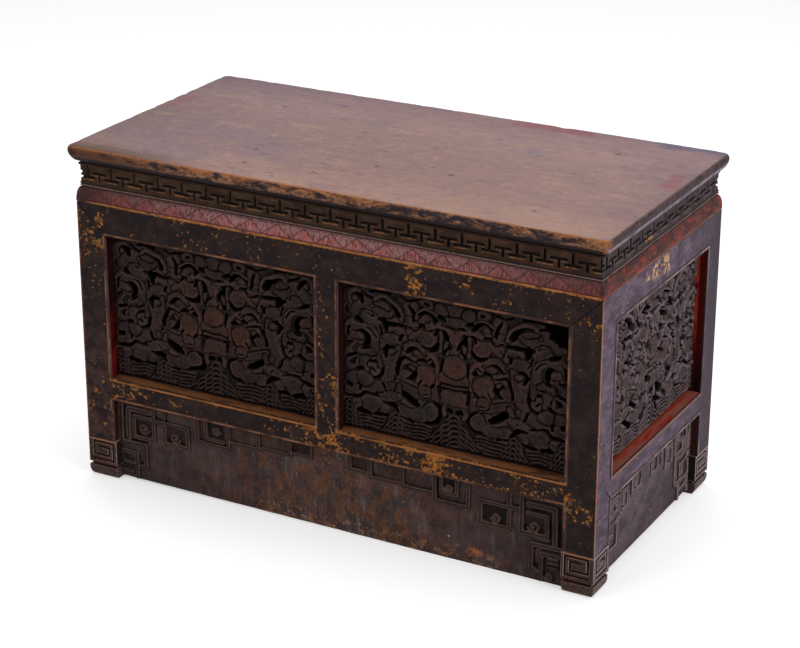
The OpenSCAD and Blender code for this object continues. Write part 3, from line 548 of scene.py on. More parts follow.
    # Waves and mountains along the foot
    shore = [(-9, -3), (150, -3), (150, 22), (140, 38), (133, 35), (124, 21.5), (104, 24), (90, 23), (83, 23),
             (75, 34), (68, 23), (48, 26), (30, 25), (18, 34), (4, 47), (-9, 47)]
    r.lay_lines(shore, 2.6, [], 1, 0)
    hills = ((75, 27, 32, 4, 6.0, 0.68), (136, 26, 36, 5, 6.2, 0.7), (0, 47, 45, 7, 6.4, 1.0))
    for mid, base, peak, rows, gap, fall in hills:
        tall = []
        for k in range(rows + 3):
            p = peak - gap * k
            right = [(mid + base * s, p - down * fall) for s, down in HILL_STEPS]
            left = [(mid - base * s, p - down * fall) for s, down in HILL_STEPS[:0:-1]]
            tall.append(W(left + right, 0.55))
        width = base * 1.05
        out, up = width * 0.45, peak * 0.46
        hill = [(mid - width, -3), (mid - out, up), (mid - 4, peak + 2.5), (mid + 4, peak + 2.5),
                (mid + out, up), (mid + width, -3)]
        r.lay_lines(hill, 2.2, tall, 1.15, 4.4)
    for mid, half, top in ((47, 20, 25), (106, 18, 23)):
        boat = [(mid - half, top), (mid, top + 1), (mid + half, top - 1), (mid + half * 0.8, top * 0.45),
                (mid + half * 0.35, 4), (mid - half * 0.1, 3), (mid - half * 0.5, 6),
                (mid - half * 0.85, top * 0.6)]
        lines = [W([(mid - half + 1.1 * k, v), (mid, v + 1), (mid + half - 1.1 * k, v - 1)], 0.5)
                 for k, v in enumerate(np.arange(top - 1.2, 4, -4.6))]
        lines.append(W(boat[2:] + boat[:1], 0.5))
        r.lay_lines(boat, 2.2, lines, 1.1, 4.2)

    r.pierce(*GAPS)
    return r


def carving_fields():
    """The relief, and its heights, gaps, shadowed hollows and warm worn places."""
    r = draw_carving()
    rough = 0.07 * drift(31, 1, r.U, r.V, 4, 11) + 0.25 * drift(32, 1, r.U, r.V, 9, 26)
    lip = np.clip(1 - r.open / 1.8, 0, 1) ** 2
    high = (blurred(r.h, 0.8) + rough - 1.6 * lip) * eased(r.V, 3.6, 5.4)
    deep = np.where(r.open < 0, -2.0, high)
    # The hollow share sets painted shade in the hollows and gaps, and a painted highlight on the rims where
    # it falls below 0.
    closed = 0.6 * (blurred(deep, 4.5) - deep) + 0.5 * (blurred(deep, 1.8) - deep)
    return r, {"high": high, "open": r.open, "warm": blurred(r.warm, 2),
               "hollow": np.clip(closed / 2.2, -1, 1), "raised": np.clip(high / 9, 0, 1)}


def without_pinches(alive):
    """Keeps a cell wherever two others would meet only at a corner."""
    for _ in range(4):
        a, b, c, d = alive[:-1, :-1], alive[1:, :-1], alive[:-1, 1:], alive[1:, 1:]
        pinch = (a & d & ~b & ~c) | (b & c & ~a & ~d)
        alive[:-1, :-1] |= pinch
        alive[1:, :-1] |= pinch
    return alive


def held_cells(alive):
    """Keeps only the cells that hang together with the tongue round the board."""
    held = np.zeros_like(alive)
    held[[0, -1], :] = True
    held[:, [0, -1]] = True
    while True:
        grown = held.copy()
        grown[1:] |= held[:-1]
        grown[:-1] |= held[1:]
        grown[:, 1:] |= held[:, :-1]
        grown[:, :-1] |= held[:, 1:]
        grown &= alive
        if (grown == held).all():
            return held
        held = grown


BROKEN_CORNER = [(106, 178), (110, 172), (116, 165), (120, 159), (126, 157), (129, 153), (134, 154),
                 (138.5, 151), (140, 160), (140, 177.5), (128, 178.5)]
# More gaps of the end panels: middle, half sizes and turn
END_GAPS = [
    (-63, 288.5, 5, 5, 0), (-41.5, 283.5, 8, 4, -25), (-23, 276, 5, 3.5, -30), (-28, 295.5, 3.5, 6, 20),
    (51, 281.5, 12, 5, -35), (29, 274.5, 9, 3.5, -15), (70, 296.5, 3.5, 4.5, 0), (-70, 257, 5, 2.5, -20),
    (-67, 247, 9, 3, 0), (-34, 253, 5, 4, 0), (57, 251, 7, 3, -5), (77.5, 247, 6, 5, 0),
    (102.5, 247, 3, 6, 0), (61, 239.5, 8, 3.5, -35), (-12, 225, 3.5, 4.5, 0), (23.5, 231.5, 10, 3, -25),
    (96, 220.5, 9, 4, -20), (-86, 217.5, 3, 14, 12), (-56, 200, 5, 5.5, 0), (-11, 207, 7, 4, -15),
    (22, 185, 11, 6.5, -30), (38, 172.5, 9, 3.2, -35), (47, 200, 4.5, 6, 30), (67.5, 208, 3.5, 8, -20),
    (-63, 170, 15, 3.4, -28), (91, 195, 5, 2.5, -15), (106, 191, 4, 2, -15), (19.5, 255, 2.2, 12, 0),
    (-10.5, 247, 2.2, 12, 0), (-94, 280, 4.5, 2, -25), (-87, 301, 5, 3, 0), (10, 300, 4, 3, -20),
    (92, 282, 5, 3, -30), (114, 264, 4, 3, -20), (-104, 236, 4, 3, -20), (112, 232, 5, 2.5, -25),
    (-42, 226, 5, 2.2, -20), (-100, 188, 5, 2.4, -25), (78, 180, 6, 2, -25), (-30, 190, 4, 3, 0),
    (118, 296, 4, 3, 0), (-110, 262, 3, 4, 0), (40, 220, 4, 2.4, -20), (84, 268, 4, 2.4, -20),
    (112, 208, 4, 2, 0),
]


def carved_panel(node, side, x0, x1, seed, carving, finish, broken=False, more_gaps=()):
    """A pierced board with its tongue all round, in the grooves of the frame."""
    cell = 1.07
    X, Z = grid(x0 - TONGUE, x1 + TONGUE, SILL - TONGUE, HEAD + TONGUE, int((x1 - x0 + 2 * TONGUE) / cell),
                int((HEAD - SILL + 2 * TONGUE) / cell))
    u = (X - (x0 + x1) / 2) * CARVED_HALF * 2 / (x1 - x0)
    v = Z - SILL
    room = np.minimum(CARVED_HALF - abs(u), np.minimum(v, CARVED_HIGH - v))
    # Both halves of every panel stray a little from the drawing, as carved by hand
    sway = eased(room, 0, 14)
    su = abs(u + drift(seed, 1.0, u, v) * sway)
    sv = v + drift(seed + 1, 1.0, u, v) * sway
    relief, fields = carving
    got = {key: relief.at(field, su, sv) for key, field in fields.items()}
    opened = got.pop("open")
    if broken:
        corner = Relief(108, CARVED_HALF, 145, CARVED_HIGH, step=0.5)
        corner.pierce(BROKEN_CORNER)
        lost = corner.at(corner.open, u, v)
        opened = np.where((u > 109) & (v > 146), np.minimum(opened, lost), opened)
    if more_gaps:
        cut = Relief(x0, x1, SILL, HEAD, step=0.8)
        cut.pierce(*more_gaps)
        opened = np.minimum(opened, cut.at(cut.open, X, Z))
    # A thin border beside the frame stays whole
    opened = np.where(room > 1.5, opened, 9.0)
    middle = (opened[1:, 1:] + opened[:-1, 1:] + opened[1:, :-1] + opened[:-1, :-1]) / 4
    alive = held_cells(without_pinches(middle > -0.15))
    wide = np.pad(alive, 1, constant_values=True)
    corners = np.stack([wide[1:, 1:], wide[:-1, 1:], wide[1:, :-1], wide[:-1, :-1]])
    edge = ~corners.all(0) & corners.any(0)
    gu, gv = np.gradient(opened, cell)
    pull = np.where(edge, np.clip(-opened, -0.6, 0.6) / np.maximum(np.hypot(gu, gv), 0.5), 0)
    shares = {key: np.where(room > 0, field, 0) for key, field in got.items()}
    x, depth = X + pull * gu, PANEL_IN - shares.pop("high")
    add_board("carved", node, finish, side, (x, depth, Z + pull * gv), (x, PANEL_BACK), shares, alive=alive)


# The low boards with their square spirals

# A rib is its half width, the u and v where it starts, and then the next v, the next u and so on
RIGHT_RIBS = [
    (3.6, 290.5, 50, 94.5, 257), (2.7, 248, 110, 57.5, 280.2, 83, 256),
    (2.6, 233, 79, 57.2, 196.4, 84.3, 245), (3.5, 232, 110, 88), (2.6, 137, 110, 71, 180, 110),
    (2.2, 146, 110, 83, 165.5, 110), (2.8, 94.5, 110, 79, 133), (2.6, 52, 110, 80.5, 91),
    (2.8, 24.5, 110, 84.5, 48), (3, 261.1, 13.5, 45.3, 297), (2.8, 273.7, 3, 35, 295),
    (1.3, 282, 31, 31, 294.5), (1.3, 282, 25.5, 25.5, 294.5), (1.3, 282, 20, 20, 294.5),
    (2.6, 301.5, 110, 2),
]
RIGHT_SLANT = [(261.1, 13.5, 3), (268, 12, 3)]
RIGHT_CURLS = [(263.2, 66.9, 6.8), (215.5, 66.9, 5.5), (155, 90, 5), (283.6, 7.8, 5)]
RIGHT_PITS = [(199, 60, 231, 82, 1.0), (251, 60, 278, 81, 0.8), (148, 85, 164, 112, 1.0),
              (139, 73, 178, 112, 0.5), (97, 81, 133, 112, 0.4), (54, 83, 92, 112, 0.5),
              (27, 87, 50, 112, 0.7), (275, 5, 297, 34, 0.5)]
LEFT_RIBS = [
    (4, 300, 110, 50), (3.8, 288.6, 57, 96, 258), (2.7, 251.8, 110, 59.5, 280.5, 87, 257),
    (2.6, 236, 82, 60, 202, 86.4, 246), (2.5, 236, 110, 93), (2.4, 187.6, 110, 73, 143.5, 110),
    (2.4, 175, 110, 80, 150), (2.4, 101, 110, 81.5, 140), (2.4, 57, 110, 84, 96), (2.2, 28, 110, 87, 54),
    (3, 265, 20, 49.8, 301), (2.7, 278, 5, 37, 305), (2, 298, 23.3, 23.3, 282), (2, 303, 10.5, 10.5, 285),
]
LEFT_SLANT = [(265, 20, 3), (273, 19.5, 3)]
LEFT_CURLS = [(266, 73, 6.5), (220, 69.5, 6), (160, 93, 5)]
LEFT_PITS = [(204, 62, 233, 84, 0.7), (254, 62, 278, 85, 0.7), (145, 75, 186, 112, 0.5),
             (150, 82, 173, 112, 0.9), (103, 84, 142, 112, 0.35), (59, 86, 98, 112, 0.45),
             (30, 89, 55, 112, 0.9), (280, 6, 300, 35, 0.6)]
END_RIBS = [
    (2.4, -96, 76, 82, -82, 69, -103.5, 88, -81), (2.2, -84, 57.5, 57.5, -105), (2.4, -106.5, 64, 22),
    (2.6, -79.5, 60, 26, -105), (2.2, -106, 44.5, 44.5, -95), (2.4, -104, 20, 0), (2.4, -118, 110, 4),
    (2.4, -72, 112, 65, -50.5, 87, -63.5, 72), (2.3, -38.5, 112, 74.5, -11, 112), (2.4, -27, 112, 80),
    (2.3, 21, 112, 73.5, 51, 112), (2.3, 38, 112, 79), (2.3, 62.5, 94, 66, 82.5, 88, 69, 74),
    (2.4, 96, 83, 83, 117, 68, 95, 90, 103), (2.4, 141, 60.5, 60.5, 97, 27, 141),
    (2.2, 110.5, 50, 36, 118.5, 50, 138), (2.3, 107.5, 22, 0), (2.2, 114, 15, 15, 138),
    (2.6, 127.5, 112, 68), (2.4, 138, 112, 2),
]


def square_line(half, u, v, *turns):
    rows = [(u, v, half)]
    for k, turn in enumerate(turns):
        u, v = (turn, v) if k % 2 else (u, turn)
        rows.append((u, v, half))
    return rows


def rib_fields(U, V, ribs, slants=(), curls=(), pits=()):
    """Distance from the nearest rib's edge and from its middle, and how far the ground is sunk."""
    lines = [square_line(*rib) for rib in ribs] + list(slants)
    low = min(u for line in lines for u, _, _ in line) - 8
    for cu, cv, size in curls:
        lines.append([(u, v, 1.6) for u, v, _ in curl(cu, cv, size, turns=1.3, start=200)])
    r = Relief(low, 316, -6, 120, step=0.5)
    edge, middle = r.far(9.0), r.far(9.0)
    for line in lines:
        w, d = r.along(line, 9)
        edge[w] = np.minimum(edge[w], d)
        middle[w] = np.minimum(middle[w], d + line[0][2])
    sunk = eased(blurred(np.where(edge < 0, 1.0, 0.0), 8), 0.4, 0.5)
    for u0, v0, u1, v1, share in pits:
        w, d = r.inside([(u0, v0), (u1, v0), (u1, v1), (u0, v1)], 1.0)
        sunk[w] = np.maximum(sunk[w], share * eased(-d, -0.8, 0.8))
    return np.stack([r.at(field, U, V) for field in (edge, middle, sunk)])


def low_board(node, side, half, seed, finish):
    reach, head = half + TONGUE, RAIL_UNDER + TONGUE
    X, T = grid(-reach, reach, 0, 1, int(2 * reach), int(head - BOARD_FOOT))
    foot = BOARD_FOOT + (np.interp(X, (-303, 100, 303), (2.7, 0.3, 0.0)) if side == FRONT else 4.2)
    Z = foot + (head - foot) * T
    across, down = (0.3, 0.6) if side == FRONT else (6.4, 1.4)
    U = X + drift(seed, 0.25, X, Z, 25, 80) + across
    V = Z + drift(seed + 1, 0.25, X, Z, 25, 80) - down
    if side == FRONT:
        fields = np.where(U > 0, rib_fields(U, V, RIGHT_RIBS, [RIGHT_SLANT], RIGHT_CURLS, RIGHT_PITS),
                          rib_fields(-U, V, LEFT_RIBS, [LEFT_SLANT], LEFT_CURLS, LEFT_PITS))
    else:
        fields = rib_fields(U, V, END_RIBS)
    edge, middle, sunk = fields
    worn = 0.92 + 0.08 * np.clip(drift(seed + 2, 1, X, Z, 30, 90), -1, 1)
    rib = (RIB_HIGH * eased(-edge, -0.4, 0.5) - 0.8 * ridge(middle, 0.8)) * worn
    shown = (abs(X) < half + 0.1) & (Z < RAIL_UNDER + 0.7)
    uneven = 0.15 * drift(seed + 5, 1, X, Z, 12, 60)
    depth = np.where(shown, FIELD_IN + 1.6 * sunk * (edge > 0) - rib + uneven, BOARD_IN)
    shares = {"edge": np.clip(edge, -4, 9), "middle": middle, "sunk": sunk}
    add_board("carved", node, finish, side, (X, depth, Z), (X, BOARD_BACK), shares)


# The waist boards with their T fret, and the moulding below them

FRET_LOW, FRET_HIGH, LOW_BAR, HIGH_BAR, BAR_HALF, CUT_HALF = 385.4, 404.6, 390.1, 396.0, 10.4, 1.4
FRET_BEADS = [(379.9, 1.1, 1.1), (382.9, 1.1, 1.1), (406.6, 2.0, 1.6)]


def tee(across, V, bar, stem_low, stem_high):
    """Distance from one T of the fret, across from its stem, and the light on the bar's lower edge."""
    cut = np.maximum(across - BAR_HALF, abs(V - bar) - CUT_HALF)
    stem = np.maximum(across - CUT_HALF, np.maximum(stem_low - V, V - stem_high))
    return np.minimum(cut, stem), eased(BAR_HALF - across, 0, 2) * ridge(V - bar + CUT_HALF + 1.1, 0.8)


def waist_board(node, side, run, repeats, seed, finish):
    full = half_of(side)
    half = full - WAIST_IN
    cell, rows = 0.8, 56
    X, Z = grid(-half, half, WAIST_LOW, TOP_LOW, int(2 * half / cell), rows)
    pitch, first = run / repeats, 4.4
    U = X + drift(seed, 0.35, X, Z, 20, 70)
    V = Z + drift(seed + 1, 0.3, X, Z, 20, 70)
    up = abs((U - first + run / 2) % pitch - pitch / 2)
    upright, lit = tee(up, V, HIGH_BAR, FRET_LOW, HIGH_BAR)
    hanging, lit_low = tee(pitch / 2 - up, V, LOW_BAR, LOW_BAR, FRET_HIGH)
    cut = np.maximum(np.minimum(upright, hanging), np.maximum(FRET_LOW - 0.5 - V, V - FRET_HIGH - 0.5))
    hollow = eased(-cut, -0.6, 0.6)
    lit = np.maximum(np.maximum(lit, lit_low), 0.6 * ridge(V - FRET_HIGH + 1.2, 0.8)) * (cut > 0.3)
    depth = WAIST_IN + 2.1 * hollow + 0.12 * drift(seed + 2, 1, X, Z, 6, 20)
    for middle, wide, out in FRET_BEADS:
        depth = depth - out * np.sqrt(np.clip(1 - ((Z - middle) / wide) ** 2, 0, 1))
    depth = np.where((Z <= WAIST_LOW) | (Z >= TOP_LOW), WAIST_IN, depth)
    add_board("fretted", node, finish, side, (X * (full - depth) / half, depth, Z),
              (X * (full - WAIST_BACK) / half, WAIST_BACK), {"hollow": hollow, "lit": lit}, sharp=60)


def zigzag_moulding(node, side, seed, finish):
    """A lip and a quarter round, with a thin zig-zag line cut along it."""
    half = half_of(side)
    cell, rows = 0.9, 28
    S, T = grid(-half, half, 0, 1, int(2 * half / cell), rows)
    lip_share = 0.1
    angle = np.clip((T - lip_share) / (1 - lip_share), 0, 1) * math.pi / 2
    Z = APRON_TOP + LIP * np.clip(T / lip_share, 0, 1) + (WAIST_LOW - APRON_TOP - LIP) * np.sin(angle)
    pitch, first, low, high = 35.6, 6.0, 363.5, 377.0
    wave = abs(((S + drift(seed, 1.2, S, Z, 30, 120) - first) / pitch) % 1 - 0.5) * 2
    below = low + (high - low) * wave - Z
    line = ridge(below / math.hypot(1, (high - low) * 2 / pitch), 0.6)
    inner = eased(Z, 362, 364) * eased(377.5 - Z, 0, 1.5)
    least = 0.05
    uneven = 0.4 * line + 0.08 * drift(seed + 2, 1, S, Z, 6, 25)
    depth = np.maximum(WAIST_IN * (1 - np.cos(angle)) + uneven * inner + least, least)
    shares = {"hollow": line * inner, "glow": eased(below, -1.0, 1.5) * inner}
    add_board("zigzag", node, finish, side, (S * (half - depth) / half, depth, Z),
              (S * (half - WAIST_BACK) / half, WAIST_BACK), shares, sharp=50)


# The top board

TOP_CORNER = 9.0
TOP_PROFILE = [(9.0, 411.0), (7.4, 411.1), (6.0, 411.8), (4.6, 413.2), (3.2, 415.0), (1.9, 417.2),
               (0.9, 419.6), (0.3, 422.0), (0.1, 424.2), (0.4, 426.3), (1.1, 428.0), (2.2, 429.2),
               (3.6, 429.85), (5.2, 430.0), (9.0, 430.0)]


def round_the_top(inset, count):
    """Points round the board at an inset, evenly along its sides and corners."""
    hx, hy = TOP_HALF_LONG - inset, TOP_HALF_SHORT - inset
    r = TOP_CORNER - 0.25 * inset
    corner = 6
    long_run = int(count * TOP_HALF_LONG / (TOP_HALF_LONG + TOP_HALF_SHORT) / 2)
    middles = np.array([(hx - r, -hy + r), (hx - r, hy - r), (-hx + r, hy - r), (-hx + r, -hy + r)])
    rows = []
    for k in range(4):
        turn = np.radians(90 * (k - 1) + 90 * np.arange(corner + 1) / corner)
        arc = middles[k] + r * np.stack([np.cos(turn), np.sin(turn)], -1)
        run = long_run if k % 2 else count // 2 - long_run
        side = arc[-1] + (middles[(k + 1) % 4] - middles[k]) * (np.arange(run) / run)[:, None]
        rows += [arc[:-1], side]
    return np.vstack(rows + [rows[0][:1]])


def top_board(finish):
    count = 600
    rings = np.stack([round_the_top(inset, count) for inset, _ in TOP_PROFILE], 1)
    n, m = rings.shape[0] - 1, len(TOP_PROFILE) - 1
    heights = np.array([z for _, z in TOP_PROFILE])
    place = np.arange(n + 1) % n
    chance = random.Random(41)
    worn = np.zeros(n + 1)
    for _ in range(90):
        at, wide, deep = chance.uniform(0, n), chance.uniform(0.7, 2.2), chance.uniform(0.15, 0.8)
        worn += deep * ridge((place - at + n / 2) % n - n / 2, wide)
    share = np.clip((heights - TOP_LOW) / (TOP_HIGH - TOP_LOW), 0, 1) ** 3
    push = worn[:, None] * share
    long_side = abs(rings[..., 1]) > TOP_HALF_SHORT - 12
    rings[..., 1] -= np.where(long_side, np.sign(rings[..., 1]), 0) * push
    rings[..., 0] -= np.where(long_side, 0, np.sign(rings[..., 0])) * push
    level = heights - 0.35 * push
    bm = bmesh.new()
    bmesh.ops.create_grid(bm, x_segments=n, y_segments=m, size=0.5)
    for vert in bm.verts:
        i, j = int(round((vert.co.x + 0.5) * n)), int(round((vert.co.y + 0.5) * m))
        vert.co = Vector((*rings[i, j], level[i, j])) * MM
    bmesh.ops.remove_doubles(bm, verts=bm.verts[:], dist=MERGE * MM)
    bmesh.ops.edgeloop_fill(bm, edges=open_edges(bm))
    bmesh.ops.recalc_face_normals(bm, faces=bm.faces[:])
    add_piece("worn", "top_board", mesh_of("worn_top_board", bm), finish, sharp=40)


def eased_copy(node, finish, width=0.7):
    """The CAD piece with its outer arrises rounded off."""
    bm = bmesh.new()
    bm.from_mesh(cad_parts[node].data)
    bmesh.ops.remove_doubles(bm, verts=bm.verts[:], dist=MERGE * MM)
    bmesh.ops.dissolve_limit(bm, angle_limit=math.radians(1), verts=bm.verts[:], edges=bm.edges[:])
    arrises = [
        e for e in bm.edges
        if len(e.link_faces) == 2 and e.is_convex and e.calc_face_angle() > math.radians(40)
        and e.calc_length() > 3 * MM
    ]
    bmesh.ops.bevel(
        bm, geom=arrises, offset=width * MM, offset_type="OFFSET", segments=2, profile=0.5,
        affect="EDGES", clamp_overlap=False, material=-1)
    add_piece("eased", node, mesh_of("eased_" + node, bm), finish, sharp=0)


# Finishes, built up from shares of the wood, 0 to 1, and colours as they read on it, 0 to 255

def tone(red, green, blue):
    """The shader's numbers for a colour."""
    shares = (red / 255, green / 255, blue / 255)
    return tuple(((v + 0.055) / 1.055) ** 2.4 if v > 0.04 else v / 12.92 for v in shares)


class Share:
    """A share or a colour over the wood: * is both, | is whichever is more and ~ is the rest."""

    def __init__(self, finish, socket):
        self.finish, self.socket = finish, socket

    def worked(self, way, other=0.0):
        return self.finish.made("Math", {0: self, 1: other}, operation=way)

    def __mul__(self, other):
        return self.worked("MULTIPLY", other)

    def __truediv__(self, other):
        return self.worked("DIVIDE", other)

    def __add__(self, other):
        return self.worked("ADD", other)

    def __sub__(self, other):
        return self.worked("SUBTRACT", other)

    def __or__(self, other):
        return self.worked("MAXIMUM", other)

    def __abs__(self):
        return self.worked("ABSOLUTE")

    def __invert__(self):
        return self.finish.made("Math", {0: 1.0, 1: self}, operation="SUBTRACT")

    def span(self, low, high, to_low=0.0, to_high=1.0):
        """From low to high it becomes to_low to to_high, softly, and stays inside them."""
        ends = {"Value": self, "From Min": low, "From Max": high, "To Min": to_low, "To Max": to_high}
        return self.finish.made("MapRange", ends, interpolation_type="SMOOTHSTEP")

    def band(self, low, high, soft):
        return self.span(low - soft, low + soft) * self.span(high - soft, high + soft, 1, 0)

    def between(self, a, b):
        return self * (b - a) + a

    def mix(self, a, b):
        return self.finish.mix(self, a, b)

    def along(self, low, high, *stops):
        """A share or a colour that changes from low to high; a stop is its place, then its value."""
        share = self.finish.made("MapRange", {"Value": self, "From Min": low, "From Max": high})
        node = add_node(self.finish.tree, "ValToRGB", {0: share.socket})
        marks = node.color_ramp.elements
        while len(marks) < len(stops):
            marks.new(1.0)
        for mark, (at, *value) in zip(marks, stops):
            mark.position = (at - low) / (high - low)
            mark.color = (*(tone(*value) if len(value) == 3 else value * 3), 1)
        return Share(self.finish, node.outputs["Color"])


class Finish:
    """A material in the making; its place is in millimetres on the bench, and facing is its normal."""

    def __init__(self, slot):
        self.slot, self.material = slot, bpy.data.materials.new(slot)
        self.tree = empty_tree(self.material)
        source = add_node(self.tree, "TexCoord").outputs
        grown = {0: source["Object"], "Scale": 1 / MM}
        self.where = add_node(self.tree, "VectorMath", grown, operation="SCALE")
        self.place, self.facing = self.parts(self.where), self.parts(source["Normal"])

    def parts(self, vector):
        return [Share(self, socket) for socket in add_node(self.tree, "SeparateXYZ", {0: vector}).outputs]

    def made(self, kind, inputs, out=0, **settings):
        inputs = {name: value.socket if isinstance(value, Share) else value for name, value in inputs.items()}
        return Share(self, add_node(self.tree, kind, inputs, **settings).outputs[out])

    def mix(self, share, a, b):
        """Colour a where the share is 0 and colour b where it is 1."""
        a, b = ((*tone(*colour), 1) if isinstance(colour, tuple) else colour for colour in (a, b))
        return self.made("Mix", {"Factor": share, "A": a, "B": b}, "Result", data_type="RGBA")

    def stored(self, name):
        return self.made("Attribute", {}, "Fac", attribute_name=name)

    def noise(self, size, detail=4, rough=0.55, stretch=(1, 1, 1), twist=0.0, shift=0.0):
        """Cloudy noise whose clouds are about size across, pulled out along an axis by stretch."""
        scale = tuple(1 / (size * pull) for pull in stretch)
        vector = self.made("Mapping", {"Vector": self.where, "Scale": scale, "Location": (shift,) * 3})
        how = {"Vector": vector, "Scale": 1, "Detail": detail, "Roughness": rough, "Distortion": twist}
        return self.made("TexNoise", how, "Fac")

    def flecks(self, size, amount, soft=0.02, detail=4, rough=0.6, stretch=(1, 1, 1), shift=0.0):
        """Spots of noise; amount from 0 to 1 says how much they cover."""
        level = amount * -0.31 + 0.75
        return self.noise(size, detail, rough, stretch, 0.0, shift).span(level, level + soft)

    def spot(self, x, y, wide, deep, ragged=None):
        """A round patch of the top about x and y."""
        a, b = (self.place[0] - x) / wide, (self.place[1] - y) / deep
        away = (a * a + b * b).worked("SQRT")
        if ragged is not None:
            away = ragged * 3 + (away - 1.5)
        return away.span(1.2, 0.8)

    def done(self, colour, rough, gloss, bump, deep=0.3):
        dents = self.made("Bump", {"Distance": deep * MM, "Height": bump})
        wood = self.made("BsdfPrincipled", {
            "Base Color": colour, "Roughness": rough, "Specular IOR Level": gloss, "Normal": dents})
        add_node(self.tree, "OutputMaterial", {"Surface": wood.socket})
        return self


def crack(a, b, start, end, half):
    """A thin straight line from start to end in the plane of a and b."""
    length = math.dist(start, end)
    c, s = (end[0] - start[0]) / length, (end[1] - start[1]) / length
    a, b = a - start[0], b - start[1]
    on, off = a * c + b * s, b * c - a * s
    return abs(off).span(half * 1.4, half * 0.6) * on.band(0, length, 0.8)


def coats(colour, *more):
    """Each coat is laid over the ones before: its share, then its colour."""
    for share, *over in more:
        colour = share.mix(colour, tuple(over) if len(over) == 3 else over[0])
    return colour


